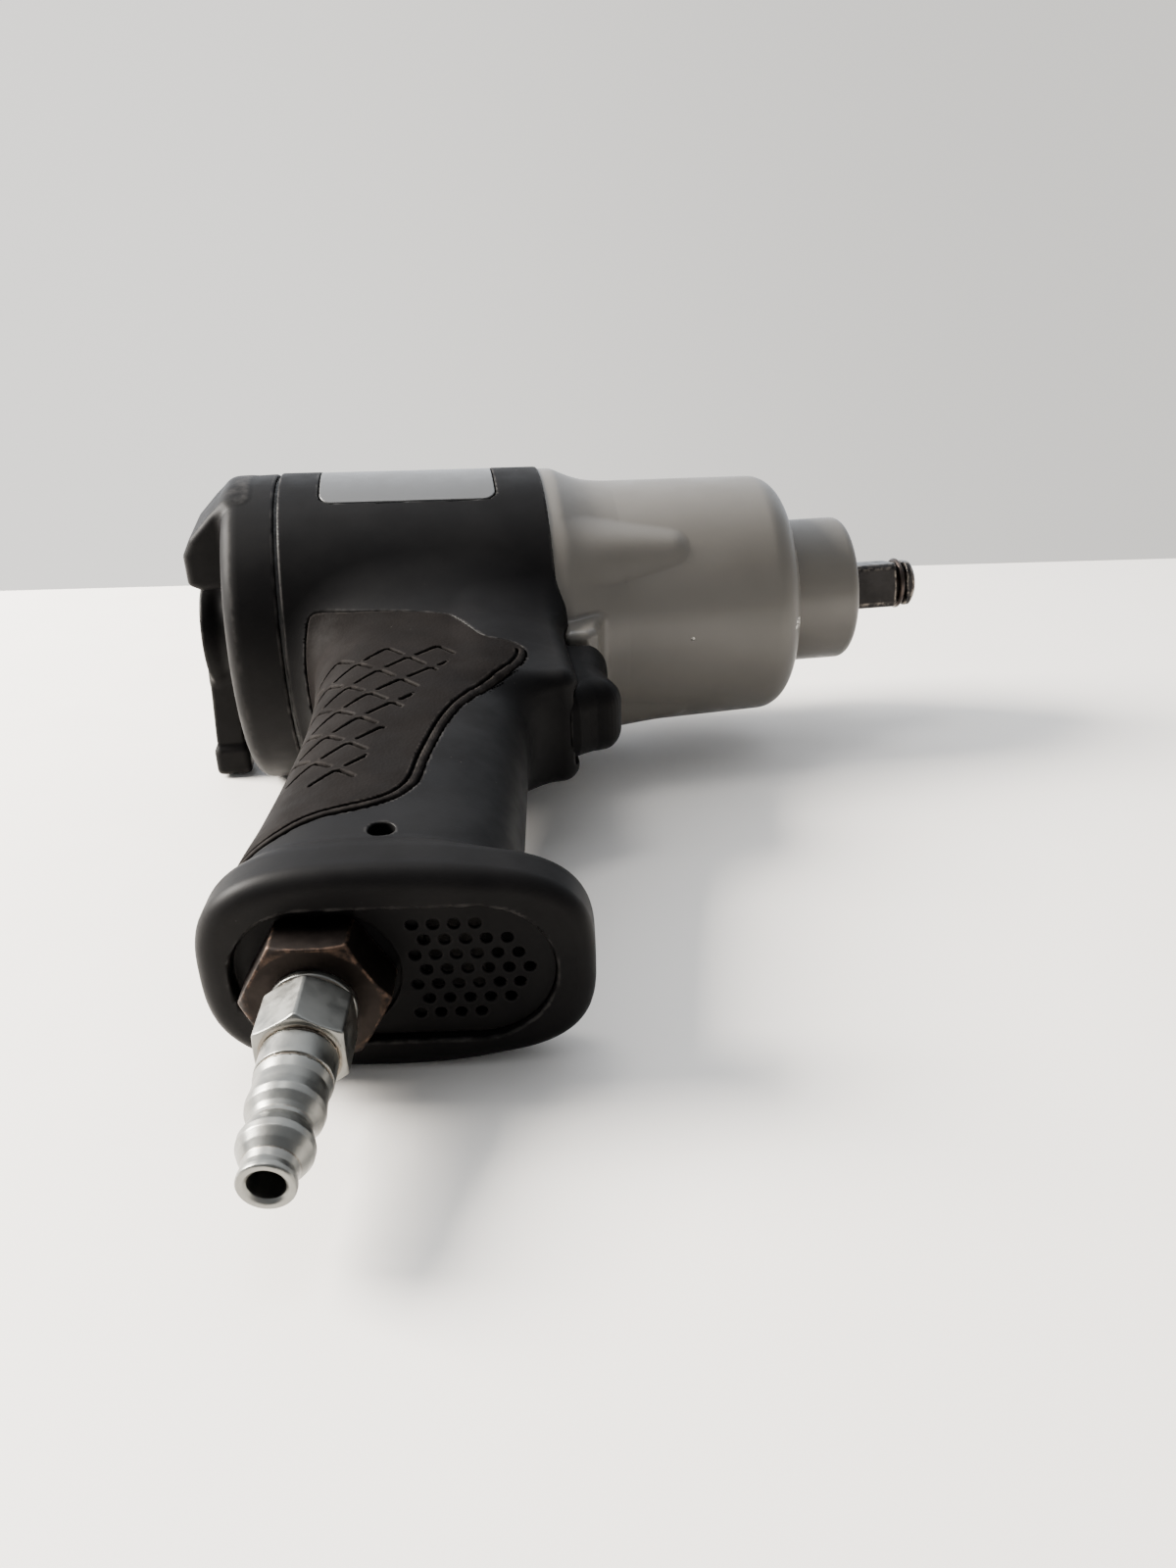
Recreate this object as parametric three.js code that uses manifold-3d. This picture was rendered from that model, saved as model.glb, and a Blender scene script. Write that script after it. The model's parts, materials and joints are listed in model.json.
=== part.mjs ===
// Air impact wrench with a half-inch square drive, lying on its left side.
//
// Every piece is drawn in the tool's own frame, in millimetres: +X runs forward along the barrel,
// +Y to the tool's left and +Z up, with the handle hanging towards -Z. The handle's pieces use a
// frame leaning back by SLANT, in which s is the distance down the handle and t the distance
// forward. One group at the end lays the whole tool down on its left side.
import * as THREE from "three";
import { mergeVertices } from "three/addons/utils/BufferGeometryUtils.js";
import Module from "manifold-3d";

const wasm = await Module();
wasm.setup();

// ---------------------------------------------------------------- driving dimensions
const GAP = 0.3; // clearance between neighbouring pieces
const DRIVE = 12.7; // across the flats of the square drive

const SEAM_X = -69.7; // joint between rear cover and motor housing
const REAR_R = 41.8; // outer radius at that joint
const RIM_R = 39.6; // outer radius at the housing's front rim, x = 0
const COVER_BACK_X = -84; // flat back face of the rear cover
const BORE_R = 29.5; // motor bore of the housing
const SCREW_CIRCLE_R = 33.2; // the four case screws
const SCREW_ANGLES = [45, 135, 225, 315];

const CASE_R = 34.7; // hammer case behind its shoulder
const CASE_END_R = 33.5;
const SHOULDER_X = 61.5;
const NOSE_R = 20.4;
const NOSE_X = 87.4;
const CAVITY_R = 30;
const TIP_X = 109; // end of the square drive

const SLANT = THREE.MathUtils.degToRad(6.7); // how far the handle leans back
const BASE_S = 168; // the handle's bottom face, measured down the handle
const VALVE_T = -36.6; // axis of the air inlet and the throttle valve
const CHAMBER_R = 8.5;
const STEM_Z = -62; // height of the trigger's stem
const TRIGGER_HALF_WIDTH = 9.3;
const BLOCK_HALF_WIDTH = 14.5; // the housing block that guides the trigger

const DRIVE_TURN = THREE.MathUtils.degToRad(-14); // how the square happens to stand
const LEVER_TILT = THREE.MathUtils.degToRad(-5); // rest angle of the direction lever
const LIE = THREE.MathUtils.degToRad(7.55); // lean of the handle plane when the tool lies down

const ROUND = 32; // segments round the barrel
const SMALL = 16; // segments round small turned pieces

// ---------------------------------------------------------------- materials
const material = (color, roughness, metalness) =>
  new THREE.MeshStandardMaterial({ color, roughness, metalness, flatShading: true });

const blackComposite = material(0x17171a, 0.42, 0);
const gripRubber = material(0x1f1d1c, 0.8, 0);
const greyPaint = material(0x827d76, 0.45, 0.1);
const badgeGrey = material(0x55575a, 0.4, 0);
const blackSteel = material(0x1c1b1b, 0.35, 0.8);
const springSteel = material(0x8f8b84, 0.35, 1);
const zincPlate = material(0x9a9b98, 0.25, 1);
const machinedSteel = material(0xa5a5a3, 0.3, 1);
const bronze = material(0x9c7a4a, 0.4, 1);
const sealRubber = material(0x111111, 0.8, 0);
const bladeResin = material(0x6b4a2c, 0.6, 0);
const filterFelt = material(0xb9b4a6, 0.9, 0);

// ---------------------------------------------------------------- solids
const WELD = 1e-4;

function signedVolume(at, corners) {
  let sum = 0;
  for (let i = 0; i < corners.length; i += 3) {
    const [a, b, c] = [0, 1, 2].map((k) => new THREE.Vector3().fromArray(at, 3 * corners[i + k]));
    sum += a.dot(b.cross(c));
  }
  return sum;
}

// A closed three.js geometry as a solid, with its faces turned outwards.
function solid(geometry) {
  const bare = geometry.index ? geometry.toNonIndexed() : geometry.clone();
  bare.deleteAttribute("normal");
  bare.deleteAttribute("uv");
  const merged = mergeVertices(bare, WELD);
  const at = merged.attributes.position.array;
  const index = merged.index.array;
  const corners = [];
  for (let i = 0; i < index.length; i += 3) {
    const [a, b, c] = [index[i], index[i + 1], index[i + 2]];
    if (a !== b && b !== c && c !== a) corners.push(a, b, c);
  }
  if (signedVolume(at, corners) < 0) corners.reverse();
  const mesh = { numProp: 3, vertProperties: at, triVerts: new Uint32Array(corners) };
  return new wasm.Manifold(new wasm.Mesh(mesh));
}

const asSolid = (piece) => (piece.isBufferGeometry ? solid(piece) : piece);
const join = (...pieces) => pieces.map(asSolid).reduce((a, b) => a.add(b));
const cut = (piece, ...tools) => tools.map(asSolid).reduce((a, b) => a.subtract(b), asSolid(piece));
const common = (a, b) => asSolid(a).intersect(asSolid(b));

function geometryOf(body) {
  const { vertProperties, triVerts } = body.getMesh();
  const geometry = new THREE.BufferGeometry();
  geometry.setAttribute("position", new THREE.BufferAttribute(vertProperties, 3));
  geometry.setIndex(new THREE.BufferAttribute(triVerts, 1));
  return geometry;
}

// One named piece. Geometry goes through a solid, so that it is welded and faces outwards.
function piece(name, shape, look) {
  const mesh = new THREE.Mesh(geometryOf(asSolid(shape)), look);
  mesh.name = name;
  return mesh;
}

// ---------------------------------------------------------------- shape helpers
// A turned piece round the X axis, from [x, radius] points.
function turned(profile, segments = SMALL) {
  const points = profile.map(([x, r]) => new THREE.Vector2(r, x));
  return new THREE.LatheGeometry(points, segments).rotateZ(-Math.PI / 2);
}

// A plain round bar along X.
const bar = (x0, x1, r, segments = SMALL) => turned([[x0, 0], [x0, r], [x1, r], [x1, 0]], segments);

// A plain tube along X.
const tube = (x0, x1, rIn, rOut, segments = SMALL) =>
  turned([[x0, rIn], [x0, rOut], [x1, rOut], [x1, rIn], [x0, rIn]], segments);

// A turned piece round the handle's axis at t, from [s, radius] points.
const turnedDown = (profile, t = VALVE_T, segments = SMALL) =>
  turned(profile, segments).rotateY(Math.PI / 2).translate(t, 0, 0);

const barDown = (s0, s1, r, t = VALVE_T, segments = SMALL) =>
  turnedDown([[s0, 0], [s0, r], [s1, r], [s1, 0]], t, segments);

function block(x0, x1, y0, y1, z0, z1) {
  const box = new THREE.BoxGeometry(x1 - x0, y1 - y0, z1 - z0);
  return box.translate((x0 + x1) / 2, (y0 + y1) / 2, (z0 + z1) / 2);
}

function polygon(points) {
  return new THREE.Shape(points.map(([x, y]) => new THREE.Vector2(x, y)));
}

// A closed outline through clockwise points, as one smooth curve, grown outwards by grow.
function smoothOutline(points, divisions, grow = 0) {
  const curve = new THREE.CatmullRomCurve3(
    points.map(([x, y]) => new THREE.Vector3(x, y, 0)), true, "centripetal",
  );
  const spots = range(divisions).map((k) => {
    const at = curve.getPointAt(k / divisions);
    const along = curve.getTangentAt(k / divisions);
    return new THREE.Vector2(at.x - grow * along.y, at.y + grow * along.x);
  });
  return new THREE.Shape(spots);
}

// A slab whose outline is drawn in X and Z, centred on y = 0, with bevelled rims.
function slab(shape, halfWidth, bevel = 0, steps = 2) {
  const depth = 2 * (halfWidth - bevel);
  const options = {
    depth, bevelEnabled: bevel > 0, bevelThickness: bevel, bevelSize: bevel, bevelOffset: -bevel,
    bevelSegments: steps, curveSegments: 8,
  };
  return new THREE.ExtrudeGeometry(shape, options).translate(0, 0, -depth / 2).rotateX(Math.PI / 2);
}

// A plate whose outline is drawn in Y and Z, from x0 to x1.
function plate(shape, x0, x1, bevel = 0) {
  const depth = x1 - x0 - 2 * bevel;
  const options = {
    depth, bevelEnabled: bevel > 0, bevelThickness: bevel, bevelSize: bevel, bevelOffset: -bevel,
    bevelSegments: 2, curveSegments: 8,
  };
  const geometry = new THREE.ExtrudeGeometry(shape, options).translate(0, 0, x0 + bevel);
  return geometry.rotateX(Math.PI / 2).rotateZ(Math.PI / 2);
}

function roundedRectangle(halfWide, halfHigh, r) {
  const shape = new THREE.Shape();
  shape.absarc(halfWide - r, halfHigh - r, r, 0, Math.PI / 2);
  shape.absarc(r - halfWide, halfHigh - r, r, Math.PI / 2, Math.PI);
  shape.absarc(r - halfWide, r - halfHigh, r, Math.PI, 1.5 * Math.PI);
  shape.absarc(halfWide - r, r - halfHigh, r, 1.5 * Math.PI, 2 * Math.PI);
  return shape;
}

function hexagon(acrossFlats, turn = 0) {
  const r = acrossFlats / Math.sqrt(3);
  const angles = range(6).map((k) => turn + (k * Math.PI) / 3);
  return polygon(angles.map((a) => [r * Math.cos(a), r * Math.sin(a)]));
}

const range = (count) => [...Array(count).keys()];

// Puts a piece that was drawn on the X axis at an angle and radius round the barrel.
function round(geometry, degrees, radius = 0) {
  return geometry.translate(0, 0, radius).rotateX(THREE.MathUtils.degToRad(-degrees));
}

// A body swept down the handle: rows of [s, back t, front t, half width], grown by offset.
const HANDLE_POWER = 2 / 2.7; // squareness of the handle's rounded section
function handleBody(rows, offset = 0, segments = 24) {
  const geometry = new THREE.CylinderGeometry(1, 1, 1, segments, rows.length - 1);
  const at = geometry.attributes.position;
  for (let i = 0; i < at.count; i++) {
    const row = rows[Math.round((0.5 - at.getY(i)) * (rows.length - 1))];
    const [s, back, front, half] = row;
    const [c, n] = [at.getX(i), at.getZ(i)];
    const bulge = (v) => Math.sign(v) * Math.pow(Math.abs(v), HANDLE_POWER);
    const reach = (front - back) / 2 + offset;
    at.setXYZ(i, (front + back) / 2 + reach * bulge(c), (half + offset) * bulge(n), -s);
  }
  return geometry;
}

// Turns a solid drawn in the handle's frame into the tool's frame.
const toTool = (body) => solid(geometryOf(asSolid(body)).rotateY(SLANT));

// ---------------------------------------------------------------- motor housing and its covers
// The barrel's outside radius at x, with its moulding draft.
const barrelR = (x) => RIM_R + ((REAR_R - RIM_R) * x) / SEAM_X;

const HANDLE_ROWS = [
  [26, -57, 2, 22], [44, -57.5, 1.5, 20], [58, -55.5, 0, 18.6], [75, -53, -2, 17.8],
  [95, -52, -3, 17.5], [115, -52.5, -3.2, 17.5], [135, -53.8, -3.2, 17.8], [149, -55.2, -3, 18.4],
  [154, -56, -1, 19], [157, -56.6, 6, 19.7], [159.5, -56.65, 9.2, 20],
  [165.5, -56.65, 9.85, 20], [BASE_S, -54.6, 7.8, 18],
];

// The soft grip's edge seen from the side, as [t, -s] points.
const GRIP_EDGE = [
  [-72, -61], [-60, -57], [-58.4, -49], [-56, -45.4], [-43.8, -47.6], [-25, -50], [-20.4, -53.4],
  [-13.5, -63.6], [-7, -64.6], [-3.6, -68], [-5.4, -77.3], [-13.6, -91.5], [-18.3, -104],
  [-21.2, -121], [-22.8, -133.8], [-28.5, -141], [-40, -145.4], [-47, -149.8], [-62, -157], [-72, -158],
];
const GRIP_DEPTH = 2.2;
const DUCT_T = [-23, -8];
const PLENUM_TOP_S = 139;
const PIN = { s: 150.5, t: -26.7 }; // where the bushing pin crosses the handle

const gripRegion = (grow) => slab(smoothOutline(GRIP_EDGE, 44, grow), 40);

// The recess in the bottom face, round at both ends: it holds the inlet nut and the exhaust plate.
const FACE_T = [-51.8, 3.2];
const FACE_HALF = 13.8;
const FACE_RECESS = 2.6;
const PLATE_BACK_T = -30;
const FLARE_BACK_T = -19;
const FLARE_DEPTH = 7;
function faceOutline(inset) {
  const r = FACE_HALF - inset;
  const [back, front] = [FACE_T[0] + FACE_HALF, FACE_T[1] - FACE_HALF];
  const shape = new THREE.Shape();
  shape.absarc(front, 0, r, -Math.PI / 2, Math.PI / 2);
  shape.absarc(back, 0, r, Math.PI / 2, 1.5 * Math.PI);
  return shape;
}

// A prism down the handle from an outline in t and y.
function prismDown(shape, s0, s1) {
  const options = { depth: s1 - s0, bevelEnabled: false, curveSegments: 8 };
  return new THREE.ExtrudeGeometry(shape, options).translate(0, 0, -s1);
}

function handlePockets() {
  const inlet = turnedDown([
    [56, 0], [56, CHAMBER_R], [141, CHAMBER_R], [141, 10.4], [BASE_S + 1, 10.4], [BASE_S + 1, 0],
  ]);
  const feed = barDown(20, 57, 4.5);
  const ducts = [-11, 5.2].map((y) => block(...DUCT_T, y, y + 5.8, -PLENUM_TOP_S - 1, -26));
  const plenum = block(DUCT_T[0] + 1, -7.5, -12.5, 12.5, -BASE_S + 4, -PLENUM_TOP_S);
  const seat = prismDown(faceOutline(0), BASE_S - FACE_RECESS, BASE_S + 1);
  const flare = common(
    prismDown(faceOutline(2), BASE_S - FLARE_DEPTH, BASE_S),
    block(FLARE_BACK_T, FACE_T[1], -FACE_HALF, FACE_HALF, -BASE_S, -BASE_S + FLARE_DEPTH),
  );
  const pin = turned([[-30, 0], [-30, 2.6], [30, 2.6], [30, 0]], 16).rotateZ(Math.PI / 2);
  return [inlet, feed, ...ducts, plenum, seat, flare, pin.translate(PIN.t, 0, -PIN.s)];
}

function motorHousing() {
  const barrel = turned([
    [SEAM_X + 0.7, 0], [SEAM_X + 0.7, barrelR(SEAM_X)], [-0.8, RIM_R + 0.02], [0, RIM_R - 0.7], [0, 0],
  ], ROUND);
  const triggerBlock = slab(polygon([
    [-24, -28], [0, -28], [0, -80.5], [-2, -83.4], [-24, -85.8],
  ]), BLOCK_HALF_WIDTH, 2.5, 3);
  const handle = cut(handleBody(HANDLE_ROWS), ...handlePockets());
  const pocket = cut(common(handleBody(HANDLE_ROWS, 4), gripRegion(GAP)), handleBody(HANDLE_ROWS, -2.5));
  const gripPocket = toTool(cut(pocket, barrelKeep()));
  const shell = join(barrel, triggerBlock, toTool(handle));
  return cut(
    shell,
    gripPocket,
    bar(SEAM_X, 1, BORE_R, ROUND),
    bar(-3.2, 1, 37.1, ROUND),
    ...SCREW_ANGLES.map((a) => round(bar(SEAM_X, 1, 2.3, 8), a, SCREW_CIRCLE_R)),
    block(-10, 2, -TRIGGER_HALF_WIDTH - GAP, TRIGGER_HALF_WIDTH + GAP, -80.4, -30),
    bar(-38, 1, 2.4, 12).translate(0, 0, STEM_Z),
    toTool(join(...handlePockets())),
    badgeSolid(1, GAP, 1.2, 0),
    badgeSolid(-1, GAP, 1.2, 0),
  );
}

// Keeps the grip's pocket out of the barrel's own wall: the space above s = 45.
const barrelKeep = () => block(-90, 30, -60, 60, -45, 10);

function gripOvermold() {
  const skin = common(handleBody(HANDLE_ROWS, 0.35), gripRegion(0));
  const body = cut(skin, handleBody(HANDLE_ROWS, -GRIP_DEPTH), barrelKeep(), ...handlePockets());
  return cut(toTool(body), turned([
    [SEAM_X - 5, 0], [SEAM_X - 5, REAR_R + GAP], [0, RIM_R + GAP], [0, 0],
  ], ROUND));
}

// The blank badge on each side: a rounded plate bent round the barrel.
const BADGE_X = [-58.5, -13];
const BADGE_HALF = 14.5;
const BADGE_CORNER = 3.5;
function badgeSolid(side, grow, deep, proud) {
  const middle = (BADGE_X[0] + BADGE_X[1]) / 2;
  const half = (BADGE_X[1] - BADGE_X[0]) / 2;
  const shape = roundedRectangle(half + grow, BADGE_HALF + grow, BADGE_CORNER + grow);
  const stamp = new THREE.ExtrudeGeometry(shape, { depth: 30, bevelEnabled: false, curveSegments: 5 });
  stamp.rotateX(side * Math.PI / 2).translate(middle, side * -25, 0);
  const [x0, x1] = [BADGE_X[0] - 5, BADGE_X[1] + 5];
  const skin = turned([
    [x0, barrelR(x0) - deep], [x0, barrelR(x0) + 1 - proud], [x1, barrelR(x1) + 1 - proud],
    [x1, barrelR(x1) - deep], [x0, barrelR(x0) - deep],
  ], ROUND);
  return common(skin, stamp);
}

const HUMP = [
  [-78, 17], [-78, 43], [-81, 41.2], [-87.5, 36], [-93, 30.5], [-95.2, 26], [-95.4, 19], [-93.6, 16.6],
  [-90, 16.2],
];
const HUMP_HALF = 13;

function rearCover() {
  const back = COVER_BACK_X;
  const shell = turned([
    [SEAM_X - 0.7, 0], [SEAM_X - 0.7, REAR_R], [-79.5, REAR_R - 0.1], [-81.6, REAR_R - 0.9],
    [-83.3, REAR_R - 2.7], [back, REAR_R - 5], [back, 0],
  ], ROUND);
  const hump = slab(polygon(HUMP), HUMP_HALF, 1.6).rotateX(Math.PI / 2);
  const trimmed = common(hump, bar(-100, -70, REAR_R - 0.1, ROUND));
  return cut(
    join(shell, trimmed),
    turned([[SEAM_X, 0], [SEAM_X, 36], [-78, 36], [-80, 34], [-80, 0]], ROUND),
    bar(-90, -70, 6, SMALL),
    ...SCREW_ANGLES.map((a) => join(
      round(bar(-90, -60, 2.3, 8), a, SCREW_CIRCLE_R), round(bar(-90, -79, 4, 12), a, SCREW_CIRCLE_R),
    )),
  ).add(screwPosts());
}

// Posts inside the rear cover that carry the screws across its hollow.
function screwPosts() {
  return cut(
    join(...SCREW_ANGLES.map((a) => round(bar(-78.9, SEAM_X - 0.7, 4.6, 10), a, SCREW_CIRCLE_R))),
    ...SCREW_ANGLES.map((a) => round(bar(-90, -60, 2.3, 8), a, SCREW_CIRCLE_R)),
  );
}

function caseScrew(name, degrees) {
  const body = turned([
    [-83, 0], [-83, 3.2], [-82.6, 3.6], [-79.3, 3.6], [-79.3, 1.9], [14, 1.9], [14.8, 1.2], [14.8, 0],
  ], 16);
  const key = plate(hexagon(3), -84, -80.6);
  const screw = piece(name, cut(body, key), blackSteel);
  const holder = new THREE.Group();
  screw.position.z = SCREW_CIRCLE_R;
  holder.rotation.x = THREE.MathUtils.degToRad(-degrees);
  holder.add(screw);
  return holder;
}

function gasket(name, x0, x1, rIn, rOut) {
  const holes = SCREW_ANGLES.map((a) => round(bar(x0 - 1, x1 + 1, 2.3, 6), a, SCREW_CIRCLE_R));
  return piece(name, cut(tube(x0, x1, rIn, rOut, ROUND), ...holes), sealRubber);
}

// ---------------------------------------------------------------- hammer case
function hammerCase() {
  const arc = (cx, cr, r, from, to, count) =>
    range(count).map((k) => {
      const a = THREE.MathUtils.degToRad(from + ((to - from) * k) / (count - 1));
      return [cx + r * Math.cos(a), cr + r * Math.sin(a)];
    });
  const outer = [
    [0.3, 37.3], [0.3, RIM_R - 0.4], [3.6, RIM_R - 0.6], [9, CASE_R + 1.6], [17, CASE_R],
    ...arc(SHOULDER_X, CASE_END_R - 8, 8, 90, 6, 5),
    ...arc(73.2, NOSE_R + 3.6, 3.4, 187, 268, 3),
    ...arc(NOSE_X - 3, NOSE_R - 3.1, 3, 88, 2, 3),
  ];
  const inner = [
    [NOSE_X, 14.9], [54.5, 14.9], [54.5, 17.5], [52.4, 17.5], [52.4, 27], [49, CAVITY_R], [-2, CAVITY_R],
    [-2, 36.8], [0.3, 36.8],
  ];
  const shell = turned([...outer, ...inner, outer[0]], ROUND);
  const boss = () => turned([[0.3, 0], [0.3, 11], [36, 5.6], [36, 0]], 18);
  const bosses = SCREW_ANGLES.map((a) => round(boss(), a, RIM_R - 11.3));
  const lug = slab(roundedLug(), 10.5, 1.6);
  const cavity = turned([[-3, 0], [-3, CAVITY_R], [49, CAVITY_R], [52.4, 27], [52.4, 0]], ROUND);
  return cut(
    join(shell, ...bosses, lug),
    cavity,
    ...SCREW_ANGLES.map((a) => round(bar(-3, 16, 2.3, 8), a, SCREW_CIRCLE_R)),
  );
}

function roundedLug() {
  return polygon([
    [0.3, -31], [0.3, -46.2], [5.4, -46.2], [7.6, -45.4], [9, -43.4], [9.6, -40], [11, -36], [14, -31],
  ]);
}

// ---------------------------------------------------------------- air motor
const ROTOR_X = [-57.7, -16.3];
const ROTOR_R = 21.7;
const BORE_RISE = 1.6; // the cylinder's bore sits this far above the rotor's axis
const BLADES = 6;
const BLADE_THICK = 2;
const BLADE_ROOT_R = 13;
const SHAFT_R = 6;
const BEARING_R = 11;

function motorCylinder() {
  const bore = bar(-60, -14, 24, ROUND).translate(0, 0, BORE_RISE);
  const dowel = bar(-60, -14, 1.9, 10).translate(0, 0, -26.6);
  const inPorts = [-8, 8].map((y) => block(-52, -44, y - 2.5, y + 2.5, 20, 32));
  const outPort = block(-42, -32, -9, 9, -32, -20);
  return cut(bar(-58, -16, BORE_R - GAP, ROUND), bore, dowel, ...inPorts, outPort);
}

function endPlate(x0, x1, bearingX0, bearingX1) {
  return cut(
    bar(x0, x1, BORE_R - GAP, ROUND),
    bar(x0 - 1, x1 + 1, SHAFT_R + 0.7),
    bar(bearingX0, bearingX1, BEARING_R + GAP),
    bar(x0 - 1, x1 + 1, 1.9, 10).translate(0, 0, -26.6),
  );
}

function rotor() {
  const body = turned([
    [-67, 0], [-67, 5.4], [-66.4, SHAFT_R], [ROTOR_X[0], SHAFT_R],
    [ROTOR_X[0], ROTOR_R], [ROTOR_X[1], ROTOR_R], [ROTOR_X[1], SHAFT_R], [9, SHAFT_R], [9, 0],
  ], 24);
  const spline = range(6).map((k) => round(block(-4.5, 8, -1.3, 1.3, 4, 7.2), k * 60));
  const half = BLADE_THICK / 2 + GAP;
  const slot = () => block(ROTOR_X[0] - 1, ROTOR_X[1] + 1, -half, half, BLADE_ROOT_R - GAP, ROTOR_R + 1);
  return cut(join(body, ...spline), ...bladeAngles().map((a) => round(slot(), a)));
}

const bladeAngles = () => range(BLADES).map((k) => (k * 360) / BLADES + 15);

function rotorBlade(name, degrees) {
  const half = BLADE_THICK / 2;
  const shape = block(ROTOR_X[0] + 0.3, ROTOR_X[1] - 0.3, -half, half, BLADE_ROOT_R, ROTOR_R + 0.2);
  const blade = piece(name, shape, bladeResin);
  blade.rotation.x = THREE.MathUtils.degToRad(-degrees);
  return blade;
}

// ---------------------------------------------------------------- twin-hammer impact mechanism
const PIN_CIRCLE_R = 19.5;
const PIN_R = 3;
const JAW_R = 12.6;

function hammerCage() {
  const ends = [bar(10, 15, 28.6, ROUND), bar(45, 50, 28.6, ROUND)];
  const webs = [90, 270].map((a) => common(
    tube(14, 46, 25.4, 28.6, ROUND), round(block(14, 46, -15, 15, 10, 40), a),
  ));
  const hub = turned([[3, 0], [3, 11], [10.5, 13], [10.5, 0]], SMALL);
  const splineBore = bar(0, 12.5, 7.9);
  const pinHoles = [0, 180].map((a) => round(bar(12, 48, PIN_R + GAP, 14), a, PIN_CIRCLE_R));
  return cut(join(...ends, ...webs, hub), splineBore, bar(44, 51, 15.4), bar(12, 16, 12.9), ...pinHoles);
}

// One swinging hammer: it pivots on the pin in its round hole, and the pin in its slot limits its swing.
function hammer(name, x0, x1, pivotAngle) {
  const outline = new THREE.Shape();
  outline.absarc(0, 0, 23.9, 0, 2 * Math.PI);
  const hole = (cy, cz, ry, rz) => {
    const path = new THREE.Path();
    path.absellipse(cy, cz, ry, rz, 0, 2 * Math.PI, true);
    outline.holes.push(path);
  };
  hole(0, 0, 15, 15);
  hole(0, PIN_CIRCLE_R, PIN_R + GAP, PIN_R + GAP);
  hole(0, -PIN_CIRCLE_R, PIN_R + 2.4, PIN_R + 0.6);
  const options = { depth: x1 - x0, bevelEnabled: false, curveSegments: 12 };
  const ring = new THREE.ExtrudeGeometry(outline, options).translate(0, 0, x0);
  const mesh = piece(name, ring.rotateX(Math.PI / 2).rotateZ(Math.PI / 2), springSteel);
  mesh.rotation.x = pivotAngle;
  return mesh;
}

const hammerPin = () => turned([[12.5, 0], [12.5, PIN_R], [47.5, PIN_R], [47.5, 0]], 14);

function anvil() {
  const shank = turned([
    [12.4, 0], [12.4, 9], [44, 9], [44, 14.6], [49.5, 14.6], [51, 11.3], [86.8, 11.3], [88, 10.2], [88, 0],
  ], 20);
  const jaws = [0, 180].map((a) => common(
    bar(16.5, 44.5, JAW_R, 24), round(block(16.5, 44.5, -5, 5, 4, 14), a),
  ));
  const corner = DRIVE / 2;
  const drive = common(
    block(86, TIP_X, -corner, corner, -corner, corner),
    turned([
      [86, 0], [86, 8.2], [102.6, 8.2], [103, 5.6], [105.8, 5.6], [106.1, 6.9], [107.6, 6.8],
      [TIP_X, 5.2], [TIP_X, 0],
    ], 24),
  );
  return join(shank, ...jaws, geometryOf(drive).rotateX(DRIVE_TURN));
}

// The open spring ring that holds a socket on the square.
function frictionRing() {
  return cut(tube(103.35, 105.45, 6.05, 7.25, 20), round(block(103, 106, -1.4, 1.4, 3, 9), 60));
}

const anvilBushing = () => cut(
  bar(54.9, 85.4, 14.6, 24),
  bar(54, 87, 11.6, 24),
);

// ---------------------------------------------------------------- direction lever and valve
const HUB_R = 12;
function directionLever() {
  const hub = turned([
    [-94.3, 0], [-94.3, HUB_R - 1.2], [-93.2, HUB_R], [-90.6, HUB_R - 0.8], [-88, HUB_R - 1.1],
    [-84.4, HUB_R], [-84.4, 5.6], [-79.8, 5.6], [-79.8, 0],
  ], 20);
  const arm = slab(polygon([
    [-94.5, 4], [-95.3, 12], [-96.4, 30], [-97.2, 33], [-97.4, 39.6], [-96.2, 40.8], [-89, 40.8],
    [-88, 39.8], [-88, 35.4], [-89, 34.6], [-90.4, 33.6], [-90.4, 12], [-90, 4],
  ]), 6.6, 1.2).rotateX(Math.PI / 2).rotateX(Math.PI);
  return cut(join(hub, arm), bar(-97, -78, 2, 12), bar(-97, -92.5, 3.9, 16));
}

const leverScrew = () => cut(
  turned([[-95, 0], [-95, 3], [-94.6, 3.5], [-92.8, 3.5], [-92.8, 1.7], [-74, 1.7], [-74, 0]], 16),
  plate(hexagon(2.6), -96, -93.6),
);

function reverseValve() {
  const body = turned([[-79.4, 0], [-79.4, 19], [-72, 19], [-72, 0]], 24);
  const ports = [-1, 1].map((side) => round(block(-80, -71, -3, 3, 10, 15), 30 * side));
  return cut(body, ...ports, bar(-80, -71, 2, 12));
}

// ---------------------------------------------------------------- trigger and throttle
const TRIGGER_OUTLINE = [
  [-4, -47.2], [4, -47.2], [8.4, -48.2], [10.2, -51.4], [8.6, -57.6], [9.4, -63.5], [10.5, -69.5],
  [8.6, -75.6], [4, -79], [-4, -79.4],
];

function trigger() {
  const face = slab(smoothOutline(TRIGGER_OUTLINE, 30), TRIGGER_HALF_WIDTH, 1.8);
  return cut(common(face, block(-3.4, 20, -20, 20, -90, -40)), bar(-5, -1, 2.6, 12).translate(0, 0, STEM_Z));
}

const triggerStem = () => turned([
  [-1.4, 0], [-1.4, 2.3], [-3, 2.3], [-3.8, 2], [-41.4, 2], [-42, 1.2], [-42, 0],
], 14).translate(0, 0, STEM_Z);

const SEAT_S = 94; // underside of the throttle seat

const throttleSeat = () => turnedDown([
  [88, 4.6], [88, CHAMBER_R - GAP], [SEAT_S, CHAMBER_R - GAP], [SEAT_S, 5.2], [88, 4.6],
]);

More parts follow.
